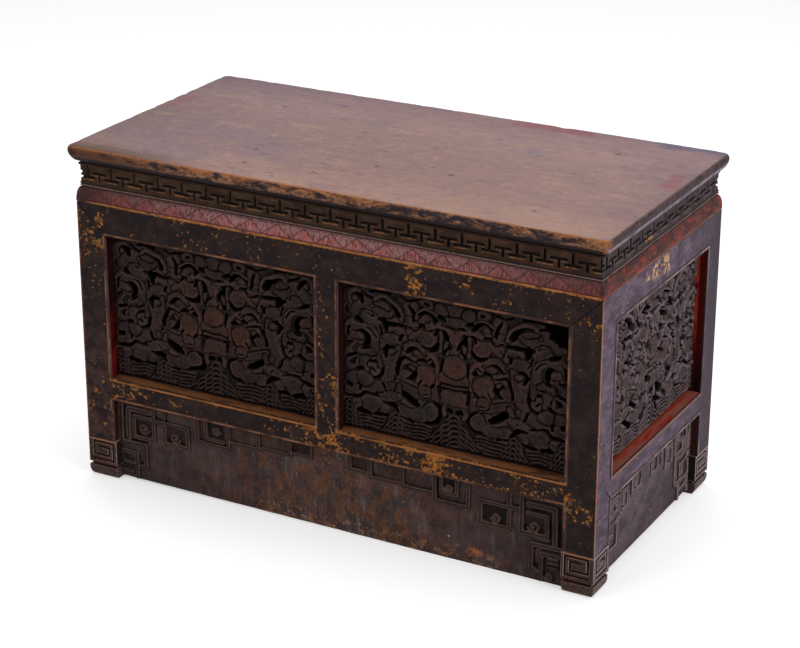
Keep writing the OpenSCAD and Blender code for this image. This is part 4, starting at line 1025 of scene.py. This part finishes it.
def top_finish():
    f = Finish("top_wood")
    (x, y, z), nx = f.place, f.facing[0]
    streak = f.noise(14, 6, 0.62, (9, 1, 1), 0.3)
    fine = f.noise(3.2, 5, 0.65, (14, 1, 1), shift=3)
    cloud = f.noise(60, 5, 0.6, (1.6, 1, 1), 0.4, 7)
    mottle = f.noise(8, 5, 0.68, (1.7, 1, 1), 0.3, 11)
    speck = f.noise(7, 5, 0.68, (1.5, 1.5, 1), 0.3, 23)
    smear = f.noise(11, 5, 0.66, (2.6, 1, 1), 0.4, 53)
    fleck = f.noise(3.2, 3, 0.6, (1.5, 1, 1), shift=83)
    dashes = f.noise(3.2, 4, 0.6, (5, 1, 1), shift=57)
    scuff = f.noise(5.5, 4, 0.62, (3.2, 1, 1), 0.6, 67)
    drifted = f.noise(26, 5, 0.66, (1.7, 1, 1), 0.8, 37)
    by_length = x.along(
        -352, 352, (-352, 84, 66, 68), (-300, 108, 86, 88), (-200, 130, 106, 106), (0, 139, 109, 102),
        (200, 147, 117, 110), (300, 147, 118, 112), (352, 122, 100, 106))
    by_depth = y.along(
        -178, 178, (-178, 166, 131, 118), (-110, 141, 109, 101), (0, 134, 105, 100), (120, 152, 122, 118),
        (178, 118, 92, 100))
    blue = cloud.span(0.54, 0.74, 0, 0.35) | cloud.span(0.4, 0.6) * f.spot(-220, -90, 120, 80) * 0.4
    wx, wy = x + (cloud * 60 - 30), cloud * 24 + (y - 12)
    red = (wx.band(78, 186, 9) * wy.span(148, 154) * 0.8 | wx.band(324, 344, 4) * wy.band(12, 72, 6) * 0.7
           | wx.band(-344, -325, 5) * wy.band(23, 73, 12) * 0.6)
    end_board = x.span(288.5, 290) * y.span(28, 34)
    end_joint = x.band(288.6, 289.6, 0.5) * y.span(28, 34)
    nicks = (f.flecks(4.5, 0.2, 0.03, 3, 0.7, (3, 1, 1), 19)
             | f.flecks(3.2, 0.34, 0.06, 3, 0.66, (1.5, 0.7, 1), 29) * drifted.span(0.42, 0.56) * 0.55)
    dots = [(237, 107), (-206, 87), (12, -70), (-38, -125), (237, -124), (102, -58), (-145, -79),
            (-129, -131)]
    for u, v in dots:
        nicks = nicks | f.spot(u, v, 3.4, 2.4, mottle)
    flat = coats(
        f.mix(0.5, by_length, by_depth),
        (streak.span(0.4, 0.7, 0, 0.18), 106, 82, 80),
        (blue, 114, 97, 112),
        (x.span(-184, -175) * y.span(-90, -140) * 0.3, 164, 126, 108),
        (drifted.span(0.5, 0.7, 0, 0.5), 120, 98, 108),
        (drifted.span(0.46, 0.3, 0, 0.4), 166, 136, 122),
        (dashes.span(0.6, 0.7) * drifted.span(0.44, 0.56) * 0.6, 108, 84, 94),
        (scuff.span(0.6, 0.67) * x.span(150, -50, 0.45, 0.9), 98, 79, 94),
        (dashes.span(0.38, 0.28) * drifted.span(0.56, 0.44) * 0.4, 176, 146, 132),
        (mottle.span(0.52, 0.7, 0, 0.35), 170, 140, 128),
        (mottle.span(0.45, 0.3, 0, 0.5), 106, 83, 88),
        (f.flecks(1.7, 0.42, 0.08, 2, 0.6, (1.5, 1, 1), 77), 112, 88, 90),
        (fine.span(0.52, 0.8, 0, 0.25), 96, 74, 73),
        (red * mottle.span(0.34, 0.54), 134, 70, 80),
        (wx.span(262, 284) * wy.span(152, 162) * 0.75, 88, 84, 106),
        (f.spot(143, 62, 13, 9, mottle) * 0.35, 112, 104, 128),
        ((y.span(109.5, 111) | end_board) * 0.16, 92, 70, 92),
        ((y.band(109.6, 110.6, 0.5) | end_joint) * 0.35, 84, 62, 66),
        (nicks * 0.75, 64, 46, 48))
    chance = random.Random(17)
    for _ in range(6):
        u, v = chance.uniform(-300, 300), chance.uniform(-130, 120)
        turn, long = chance.uniform(0.25, 0.8), chance.uniform(18, 60)
        end = (u + long * math.cos(turn), v + long * math.sin(turn))
        flat = coats(flat, (crack(x, y, (u, v), end, 0.5) * 0.4, 172, 146, 140))
    brown = x.span(-120, -300) * (mottle * 34 + y).span(-122, -156)
    flat = coats(flat, (brown * 0.9, 82, 56, 43))
    # The moulded edges, painted dark as shade where they turn under and pale on the ends as a painted sheen,
    # and the light worn arris of the front
    share = x.along(
        -352, 352, (-352, 1), (-200, 0.85), (0, 0.75), (100, 0.55), (250, 0.42), (320, 0.9), (352, 1))
    worn = coats(
        fleck.span(0.38, 0.62).mix((96, 62, 44), (148, 104, 76)),
        (z.span(422, 427, 0, 0.6), 156, 98, 56),
        (x.span(-160, -300, 0, 0.85), 74, 45, 31))
    dark = fleck.span(0.5, 0.66).mix((42, 32, 36), (84, 62, 58))
    # Where the edge turns under below its roll it is painted dark as shade, here on the front and below on
    # the ends.
    front = z.span(415.5, 418.5).mix((36, 28, 31), (share * 0.2 + smear).span(0.58, 0.72).mix(dark, worn))
    side_high = coats(
        mottle.span(0.4, 0.6).mix((46, 34, 37), (68, 52, 54)),
        (speck.span(0.6, 0.68), 134, 98, 80))
    # The lower roll of the ends is painted pale lavender: a painted sheen of the side lamp over the dark
    # lacquer.
    painted_end_sheen = coats(
        speck.span(0.5, 0.62).mix((138, 125, 140), (100, 80, 86)),
        (smear.span(0.46, 0.58, 0, 0.8), 74, 57, 60))
    side = coats(z.span(419.6, 420.6).mix(painted_end_sheen, side_high), (z.span(412.6, 411.6), 46, 37, 41))
    corner = x.span(340, 345) * y.span(-166, -171) * speck.span(0.36, 0.48) * fleck.span(0.36, 0.5)
    edge = coats(abs(nx).span(0.4, 0.75).mix(front, side), (corner * 0.7, 146, 94, 58))
    lit = x.along(
        -352, 352, (-352, 0.5), (-250, 0.7), (0, 0.9), (200, 0.6), (300, 0.4), (335, 0.8), (352, 1))
    colour = coats(
        z.span(429.4, 428.7).mix(flat, edge),
        (y.span(-173.4, -174.8) * z.span(427.4, 428.4) * speck.span(0.4, 0.52) * lit * 0.85, 158, 100, 60),
        (x.span(347.4, 348.4) * z.band(428.9, 429.8, 0.3) * 0.6, 62, 46, 50))
    return f.done(colour, 0.5, 0.1, streak * 0.5 + fine * 0.5)


def lacquer_finish():
    """Dark worn lacquer of the frame: beads worn pale with painted highlights on their crowns, red openings,
    flakes of gold.
    """
    f = Finish("frame_lacquer")
    (x, y, z), (nx, ny, nz) = f.place, f.facing
    from_middle = abs(y - MID_Y)
    wide_x, wide_y, wide_z = abs(nx), abs(ny), abs(nz)
    # Faces turned to the ends take lighter, bluer copies of each colour below: painted sheen of the side
    # lamp, with some dust.
    sideways, upward = wide_x.span(0.45, 0.7), nz.span(0.5, 0.8)
    patch = f.noise(16, 5, 0.62, twist=0.3)
    grain = f.noise(9, 4, 0.66, shift=4)
    slow = f.noise(30, 4, 0.6, shift=14)
    speck = f.noise(2.6, 3, 0.65, shift=8)
    run = f.noise(3, 4, 0.62, (1, 7, 1.6), shift=51)
    streak = f.noise(10, 5, 0.62, (2.5, 1, 3), shift=29)
    front = coats(
        patch.span(0.38, 0.68).mix((33, 25, 27), (49, 36, 32)),
        (speck.span(0.6, 0.78, 0, 0.55), 86, 66, 60),
        (x.span(-300, -306) * z.span(250, 150) * patch.span(0.35, 0.6) * 0.4, 84, 60, 54))
    # The lacquer of the ends, lightened and blued as a painted sheen with some dust, and darker towards the
    # back.
    side = coats(
        patch.span(0.35, 0.65).mix((67, 54, 66), (94, 78, 92)),
        (speck.span(0.6, 0.8, 0, 0.6), 140, 122, 130),
        (run.span(0.5, 0.7, 0, 0.35), 134, 116, 128),
        (run.span(0.46, 0.3, 0, 0.4), 58, 48, 56),
        (f.flecks(2.4, 0.3, 0.05, 2, 0.6, (1, 3, 1), 87) * 0.6, 160, 146, 154),
        (y.span(60, 170) * 0.75, 56, 48, 56))
    # How thick the flakes of gold lie, along each rail and leg
    rail_high = x.along(
        -344, 344, (-340, 0.3), (-240, 0.15), (-215, 0.4), (-190, 0.45), (-165, 0.35), (-150, 0.55),
        (-120, 0.15), (-95, 0.45), (-70, 0.15), (-10, 0.4), (30, 0.2), (95, 0.25), (106, 0.72), (124, 0.68),
        (136, 0.25), (180, 0.5), (200, 0.2), (225, 0.5), (260, 0.15), (300, 0.6), (335, 0.35))
    rail_low = x.along(
        -344, 344, (-300, 0.7), (-260, 0.55), (-230, 0.25), (-207, 0.55), (-180, 0.25), (-133, 0.45),
        (-100, 0.2), (-50, 0.5), (-5, 0.55), (20, 0.85), (60, 0.7), (90, 0.9), (160, 0.9), (180, 0.6),
        (215, 0.7), (240, 0.45), (265, 0.6), (300, 0.4))
    leg_left = z.along(
        0, 360, (10, 0.1), (75, 0.35), (95, 0.55), (140, 0.4), (180, 0.15), (240, 0.3), (290, 0.35),
        (318, 0.75), (345, 0.75), (358, 0.3))
    leg_right = z.along(
        0, 360, (10, 0.1), (60, 0.15), (85, 0.3), (100, 0.7), (115, 0.7), (135, 0.2), (200, 0.12),
        (300, 0.2), (325, 0.55), (350, 0.3))
    side_rail = y.along(
        -175, 180, (-170, 0.1), (-80, 0.3), (-60, 0.62), (0, 0.85), (15, 0.8), (28, 0.2), (120, 0.1))
    rail = z.span(200, 210).mix(rail_low, rail_high)
    amount = abs(x).span(303, 306).mix(rail, x.span(-10, 10).mix(leg_left, leg_right))
    amount = amount * f.noise(34, 2, 0.5, shift=91).span(0.34, 0.6, 0.45, 1.1)
    gold = (f.flecks(8, amount, 0.08, 3, 0.55, (1.3, 1, 1), 13)
            | f.flecks(4, amount * 0.9, 0.06, 2, 0.5, shift=41))
    # The brightest spots in the gold are painted glints.
    amber = coats(
        speck.span(0.38, 0.62).mix((92, 56, 28), (178, 112, 50)),
        (speck.span(0.64, 0.74), 216, 160, 96),
        (f.noise(12, 2, 0.5, shift=95).span(0.5, 0.62, 0, 0.7), 112, 92, 50))
    chips = f.flecks(12, side_rail, 0.06, 5, 0.68, (1, 1, 0.8), 77) * z.band(332, 356, 4) * sideways
    # Beads and arrises worn pale, with painted highlights on the bead crowns and a painted sheen on the ends
    flank = (y * -1).span(169.85, 170.2) | abs(x).span(343.6, 343.95) * 0.6 | y.span(176.35, 176.7)
    crown = (y * -1).span(170.6, 170.9) | abs(x).span(344.35, 344.65) | y.span(177.1, 177.4)
    low_bead = z.band(132.5, 138, 0.6)
    bead_wear_and_highlight = coats(
        slow.span(0.42, 0.66).mix((70, 46, 36), (132, 90, 66)),
        (low_bead * 0.45, 184, 112, 46),
        (sideways, slow.span(0.42, 0.64).mix((86, 70, 70), (146, 122, 116))),
        (low_bead * 0.7 * sideways, 146, 88, 54))
    beads = crown * (slow.span(0.36, 0.5, 0.5, 1) * ~(x.band(158.5, 164.5, 1) * z.span(318, 320)))
    line = z.span(358.4, 359.2) * speck.span(0.38, 0.5) * x.span(-330, -250) * ~sideways
    # Pale lines along the front leg arrises are wear and painted highlight.
    arris = (wide_x.span(0.2, 0.34) * wide_y.span(0.2, 0.34) * abs(x).span(340, 341)
             * from_middle.span(170, 171.5))
    corner = x.span(341.6, 342.6) * y.span(-168.6, -169.4) * ~wide_x.span(0.8, 0.95) * patch.span(0.28, 0.44)
    far_corner = x.span(-340.5, -342.4) * y.span(-166.5, -168) * patch.span(0.35, 0.5)
    lowness = z.span(110, 40)
    # Inside the openings
    inside = y.span(-168.9, -168.3) * y.span(175.4, 174.8) * abs(x).span(342.6, 342)
    far = coats(
        z.span(215, 145).mix((66, 10, 10), (22, 8, 8)),
        (x.band(324, 334.5, 1) * z.span(185, 235, 0.08, 0.9) * streak.span(0.3, 0.5), 154, 52, 34))
    # The sill is painted darker towards the panel, as shade inside the opening.
    sill_front = coats(
        y.span(-142, -164).mix((92, 54, 37), (128, 83, 53)),
        (f.noise(6, 4, 0.6, (7, 1, 1), shift=34).span(0.5, 0.64, 0, 0.7), 40, 26, 20))
    sill_side = coats(
        f.noise(7, 4, 0.6, (1, 7, 1), shift=33).span(0.44, 0.56).mix((156, 36, 26), (140, 82, 68)),
        (x.span(333, 330) * 0.6, 150, 66, 40))
    # The red of the openings is painted dark towards their heads as shade under the head rail.
    blood = coats(
        streak.span(0.35, 0.65).mix((50, 12, 10), (106, 20, 14)),
        (z.span(190, 245) * 0.9, 30, 14, 13),
        (streak.span(0.5, 0.34, 0, 0.6), 26, 12, 11),
        (abs(x).span(60, 40), 42, 18, 15),
        (x.span(316, 319) * z.span(122, 130), far),
        (z.span(120, 108), 52, 26, 24),
        (upward * z.span(130, 134), abs(x).span(318, 322).mix(sill_front, sill_side)))
    # The feet, and the open joints
    feet = z.span(53, 52)
    # On the feet, faces set back from the leg face above the pad are painted near-black as shade in the
    # recesses.
    recess = sideways * abs(x).span(343.2, 342.6) | wide_y.span(0.5, 0.7) * from_middle.span(172.7, 172.1)
    slant = wide_x * wide_y + (wide_x * wide_z + wide_y * wide_z)
    # The edges of the feet, and a line along the top of each foot, are painted pale: wear and painted
    # highlight.
    foot_edges = feet * slant.span(0.18, 0.36) * grain.span(0.32, 0.5) * 0.9
    pad = z.span(14.2, 13.4) * ~upward
    pad_front = speck.span(0.4, 0.6).mix((56, 44, 42), (84, 66, 62))
    pad_side = speck.span(0.4, 0.6).mix((66, 54, 58), (104, 88, 92))
    mitre = crack(abs(x), z, (303.5, 321.5), (343.5, 360), 0.8)
    shoulder = crack(x, z, (-303.5, 108), (-314, 118), 0.7)
    side_shoulder = crack(y, z, (-130.2, 109.3), (-146.2, 125.3), 0.8)
    joints = ((mitre | shoulder) * ~sideways * y.span(-160, -165)
              | side_shoulder * sideways * x.span(340, 342))
    colour = coats(
        sideways.mix(front, side),
        (gold * ~sideways * 0.92, amber),
        (chips * 0.9, 192, 146, 106),
        (flank * ~gold * 0.8, sideways.mix((46, 33, 30), (74, 62, 68))),
        (beads, bead_wear_and_highlight),
        (line * 0.85, 160, 102, 46),
        (corner * 0.85, lowness.mix((124, 72, 44), (104, 76, 68))),
        (arris * x.span(330, 340) * grain.span(0.3, 0.46), lowness.mix((160, 112, 86), (150, 130, 126))),
        (far_corner * 0.6, 140, 88, 58),
        (inside, blood),
        (feet * patch.span(0.3, 0.6, 0.3, 0.75), sideways.mix((66, 50, 45), (104, 90, 92))),
        (feet * recess * z.span(13.6, 14.4) * 0.9, 28, 20, 20),
        (foot_edges, wide_x.span(0.3, 0.6).mix((134, 94, 72), (158, 140, 138))),
        (z.band(49.2, 51, 0.5) * ~recess * 0.7, sideways.mix((168, 116, 88), (172, 148, 146))),
        (pad * 0.8, sideways.mix(pad_front, pad_side)),
        (joints * 0.85, 16, 12, 12))
    return f.done(colour, 0.5, 0.06, patch * 0.6 + speck * 0.4)


def carved_finish():
    f = Finish("panel_wood")
    hollow, warm, raised = f.stored("hollow"), f.stored("warm"), f.stored("raised")
    patch = f.noise(14, 4, 0.6, twist=0.2)
    speck = f.noise(2.2, 4, 0.65, shift=6)
    # The end panels take lighter copies on their raised parts and rims: painted sheen of the side lamp.
    sideways = abs(f.place[0]).span(315, 320)
    # Light specks on the highest places are dust and painted highlight, and lighter rims round the forms are
    # wear and painted highlight; the low ground between the forms, the hollows and the gaps are painted dark
    # as shade and grime.
    base = coats(
        patch.span(0.35, 0.65).mix((33, 23, 22), (48, 34, 32)),
        (f.noise(40, 3, 0.5, shift=44).span(0.46, 0.6, 0, 0.45) * ~sideways, 36, 34, 35),
        (warm * patch.span(0.3, 0.6, 0.4, 1) * 0.65, 76, 43, 29),
        (speck.span(0.5, 0.74) * raised.span(0.6, 0.95) * 0.55, 88, 70, 64),
        (sideways * raised.span(0.35, 0.7) * 0.75, 67, 55, 56),
        (hollow.span(-0.1, -0.7) * sideways.between(0.4, 0.7), sideways.mix((80, 61, 55), (114, 98, 104))),
        (raised.span(0.62, 0.4, 0, 0.72), 15, 10, 9),
        (hollow.span(0.05, 0.38, 0, 0.93), 8, 5, 5))
    return f.done(base, 0.52, 0.06, speck, 0.25)


def low_finish():
    f = Finish("lowboard_wood")
    x, y, z = f.place
    edge, middle, sunk = f.stored("edge"), f.stored("middle"), f.stored("sunk")
    patch = f.noise(22, 5, 0.62, (1.6, 1.6, 1), 0.3)
    cloud = f.noise(16, 5, 0.66, (1, 1, 1.3), 0.4, 15)
    speck = f.noise(2.8, 4, 0.66, shift=6)
    upright = f.noise(7, 5, 0.62, (1, 1, 5), 0.2, 9)
    # The end boards take lighter, bluer copies of each colour: painted sheen of the side lamp.
    sideways = abs(x).span(322, 325)
    wide = x.along(
        -344, 344, (-300, 0.05), (-190, 0.3), (-100, 0.75), (-60, 1), (60, 1), (110, 0.9), (170, 0.35),
        (300, 0.1))
    foot = z.span(30, 8) * x.band(-110, 225, 25) * f.flecks(5, 0.72, 0.1, 4, 0.66, (1.6, 1, 1), 12)
    side = coats(
        patch.span(0.38, 0.62).mix((68, 56, 60), (92, 78, 85)),
        (cloud.span(0.52, 0.68, 0, 0.45), 94, 82, 102),
        (cloud.span(0.44, 0.3, 0, 0.6), 54, 43, 48),
        (f.flecks(3.2, 0.2, 0.04, 2, 0.6, (1, 2, 1), 61), 150, 136, 142),
        (y.span(40, 115, 0, 0.75), 56, 43, 43),
        (z.span(34, 6, 0, 0.35), 56, 46, 48))
    field = coats(
        patch.span(0.35, 0.68).mix((54, 43, 44), (74, 59, 58)),
        (cloud.span(0.42, 0.6) * wide * 0.62, 104, 66, 44),
        (cloud.span(0.46, 0.32) * wide * 0.5, 66, 62, 60),
        (upright.span(0.54, 0.66) * (wide * 0.45 + 0.25), 92, 86, 88),
        (upright.span(0.45, 0.32) * 0.45, 40, 31, 31),
        (foot * 0.7, speck.span(0.4, 0.6).mix((122, 80, 54), (160, 120, 92))),
        (f.flecks(2.4, wide * 0.4, 0.05, 2, 0.6, (1, 1, 1.8), 33) * 0.5, 140, 104, 82),
        (x.band(180, 196, 5) * z.band(11, 21, 4) * speck.span(0.42, 0.56) * 0.8, 172, 104, 60),
        (x.band(154, 156, 0.9) * z.band(28, 29.6, 0.9) * 0.8, 200, 190, 196),
        (sideways, side))
    # The groove along the middle of each rib is painted dark as shade.
    rib = coats(
        patch.span(0.36, 0.64).mix((54, 41, 38), (72, 55, 50)),
        (sideways, 88, 73, 76),
        (middle.span(1.2, 0.5, 0, 0.75), 30, 21, 20))
    # Pale lines along the rib arrises are painted highlight.
    arris = edge.band(-1.3, -0.2, 0.3) * speck.span(0.34, 0.54, 0.35, 1)
    shade = edge.span(-0.2, 0.2) * edge.span(1.6, 0.8) * 0.8 | edge.span(0, 0.4) * sunk
    colour = coats(
        edge.span(0.1, -0.3).mix(field, rib),
        (arris * sideways.between(0.55, 0.8), sideways.mix((100, 78, 70), (146, 128, 130))),
        (shade * 0.88, sideways.mix((20, 14, 13), (36, 26, 28))))
    return f.done(colour, 0.52, 0.06, speck)


def waist_finish():
    f = Finish("waist_wood")
    x, y, z = f.place
    hollow, lit = f.stored("hollow"), f.stored("lit")
    patch = f.noise(10, 4, 0.6, (2, 2, 1), 0.2)
    speck = f.noise(2.4, 4, 0.65, shift=6)
    sideways = abs(x).span(335, 337)
    glow = sideways.mix(z.span(390, 392).mix((142, 96, 62), (112, 82, 66)), (98, 80, 78))
    # Near the top, under the overhang of the top board, and in the cuts of the fret, the wood is painted dark
    # as shade.
    base = coats(
        patch.span(0.35, 0.65).mix((46, 31, 22), (66, 46, 33)),
        (sideways, patch.span(0.35, 0.65).mix((46, 36, 38), (70, 56, 58))),
        (lit * speck.span(0.36, 0.58) * patch.span(0.36, 0.56, 0.3, 1) * z.span(401, 399, 0.4, 1), glow),
        (z.span(384, 383) * 0.6, 34, 24, 21),
        (z.band(379.3, 380.6, 0.4) * speck.span(0.34, 0.5) * 0.75, 138, 114, 106),
        (sideways * y.band(-47, -27, 3) * z.band(386, 388.5, 0.6) * 0.9, 176, 122, 66),
        (z.span(405, 407, 0, 0.6), 30, 20, 15),
        (hollow.span(0.25, 0.7), 12, 9, 8))
    return f.done(base, 0.5, 0.06, speck, 0.25)


def moulding_finish():
    f = Finish("moulding_red")
    x, _, z = f.place
    hollow, glow = f.stored("hollow"), f.stored("glow")
    patch = f.noise(12, 5, 0.62, (2.2, 2.2, 1), 0.3)
    dash = f.noise(7, 4, 0.66, (2.4, 2.4, 0.8), shift=14)
    speck = f.noise(2.4, 4, 0.65, shift=6)
    tick = f.noise(3, 3, 0.6, (0.8, 0.8, 2.5), shift=24)
    sheen = x.along(
        -344, 344, (-344, 0), (-300, 0.15), (-240, 0.45), (-120, 1), (140, 0.9), (240, 0.4), (344, 0.1))
    high = sheen.mix((84, 46, 44), (140, 98, 97))
    low = sheen.mix((98, 44, 41), (154, 84, 80))
    # Along the foot of the moulding, above the lip, it is painted dark as shade.
    front = coats(
        (glow * dash.span(0.38, 0.56, 0.1, 0.9)).mix(high, low),
        (speck.span(0.52, 0.7) * sheen * 0.6, 172, 128, 126),
        (tick.span(0.5, 0.38, 0, 0.7), 66, 40, 36),
        (tick.span(0.56, 0.68, 0, 0.6), sheen.mix((120, 54, 48), (178, 128, 122))),
        (z.span(364.6, 362.6, 0, 0.75), 66, 28, 26),
        (z.span(374.5, 377.5, 0, 0.5), 72, 52, 52),
        (x.span(-290, -335, 0, 0.8), 54, 36, 32))
    side = coats(
        patch.span(0.36, 0.62).mix((64, 35, 33), (94, 50, 45)),
        (dash.span(0.54, 0.62), 128, 48, 40),
        (dash.span(0.46, 0.4, 0, 0.8), 52, 38, 42),
        (speck.span(0.6, 0.72, 0, 0.5), 140, 116, 116))
    sideways = abs(x).span(336, 339)
    lip = z.span(361.9, 361.3) * patch.span(0.34, 0.44) * x.span(-335, -315)
    base = coats(
        sideways.mix(front, side),
        (hollow * sideways.between(0.95, 0.45), sideways.mix((48, 31, 28), (36, 20, 22))),
        (lip * sideways.between(0.9, 0.3), dash.span(0.4, 0.6).mix((148, 86, 36), (180, 122, 76))))
    return f.done(base, 0.5, 0.08, speck, 0.25)


def plain_wood(name, dark, light, grain):
    f = Finish(name)
    streak = f.noise(6, 5, 0.6, grain, 0.2)
    cloud = f.noise(40, 3, 0.5, shift=5)
    base = coats(streak.span(0.35, 0.7).mix(dark, light), (cloud.span(0.4, 0.7, 0, 0.4), dark))
    return f.done(base, 0.62, 0.15, streak)


# The bench

def dress(finish, *nodes):
    for node in nodes:
        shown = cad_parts[node]
        shown.data.materials.clear()
        shown.data.materials.append(finish.material)


place_camera()
light_the_room()
lay_floor()

lacquer, carved, low_wood = lacquer_finish(), carved_finish(), low_finish()
fret_wood, red_wood = waist_finish(), moulding_finish()
inner = plain_wood("inner_wood", (58, 42, 32), (98, 74, 56), (1, 6, 1))
plain_panel = plain_wood("plain_panel_wood", (46, 34, 30), (66, 50, 43), (14, 1, 1))
plain_low = plain_wood("plain_low_wood", (50, 39, 35), (72, 56, 50), (14, 1, 1))
cane = plain_wood("bamboo", (128, 98, 56), (176, 144, 92), (1, 1, 6))

top_board(top_finish())
for side, where in ((FRONT, "front"), (RIGHT, "right"), (BACK, "back"), (LEFT, "left")):
    fret_run, repeats = (667.0, 20) if side in (FRONT, BACK) else (326.0, 10)
    waist_board("waist_" + where, side, fret_run, repeats, 60 + side, fret_wood)
    zigzag_moulding("moulding_" + where, side, 70 + side, red_wood)
    for member in ("apron_", "midrail_"):
        eased_copy(member + where, lacquer)
for post in ("leg_front_left", "leg_front_right", "leg_back_left", "leg_back_right"):
    eased_copy(post, lacquer)
for post in ("stile_front", "stile_back"):
    eased_copy(post, lacquer)

carving = carving_fields()
near_stile, near_leg, end = STILE / 2, HALF_LONG - LEG, HALF_SHORT - LEG
carved_panel("panel_front_left", FRONT, -near_leg, -near_stile, 11, carving, carved)
carved_panel("panel_front_right", FRONT, near_stile, near_leg, 21, carving, carved, broken=True)
carved_panel("panel_right", RIGHT, -end, end, 31, carving, carved, more_gaps=END_GAPS)
carved_panel("panel_left", LEFT, -end, end, 41, carving, carved, more_gaps=END_GAPS)
low_board("lowboard_front", FRONT, near_leg, 51, low_wood)
low_board("lowboard_right", RIGHT, end, 52, low_wood)
low_board("lowboard_left", LEFT, end, 53, low_wood)

dress(plain_panel, "panel_back_left", "panel_back_right")
dress(plain_low, "lowboard_back")
dress(inner, "batten_left", "batten_right")
dress(cane, "waist_pins")

bpy.context.scene.view_settings.view_transform = "Standard"
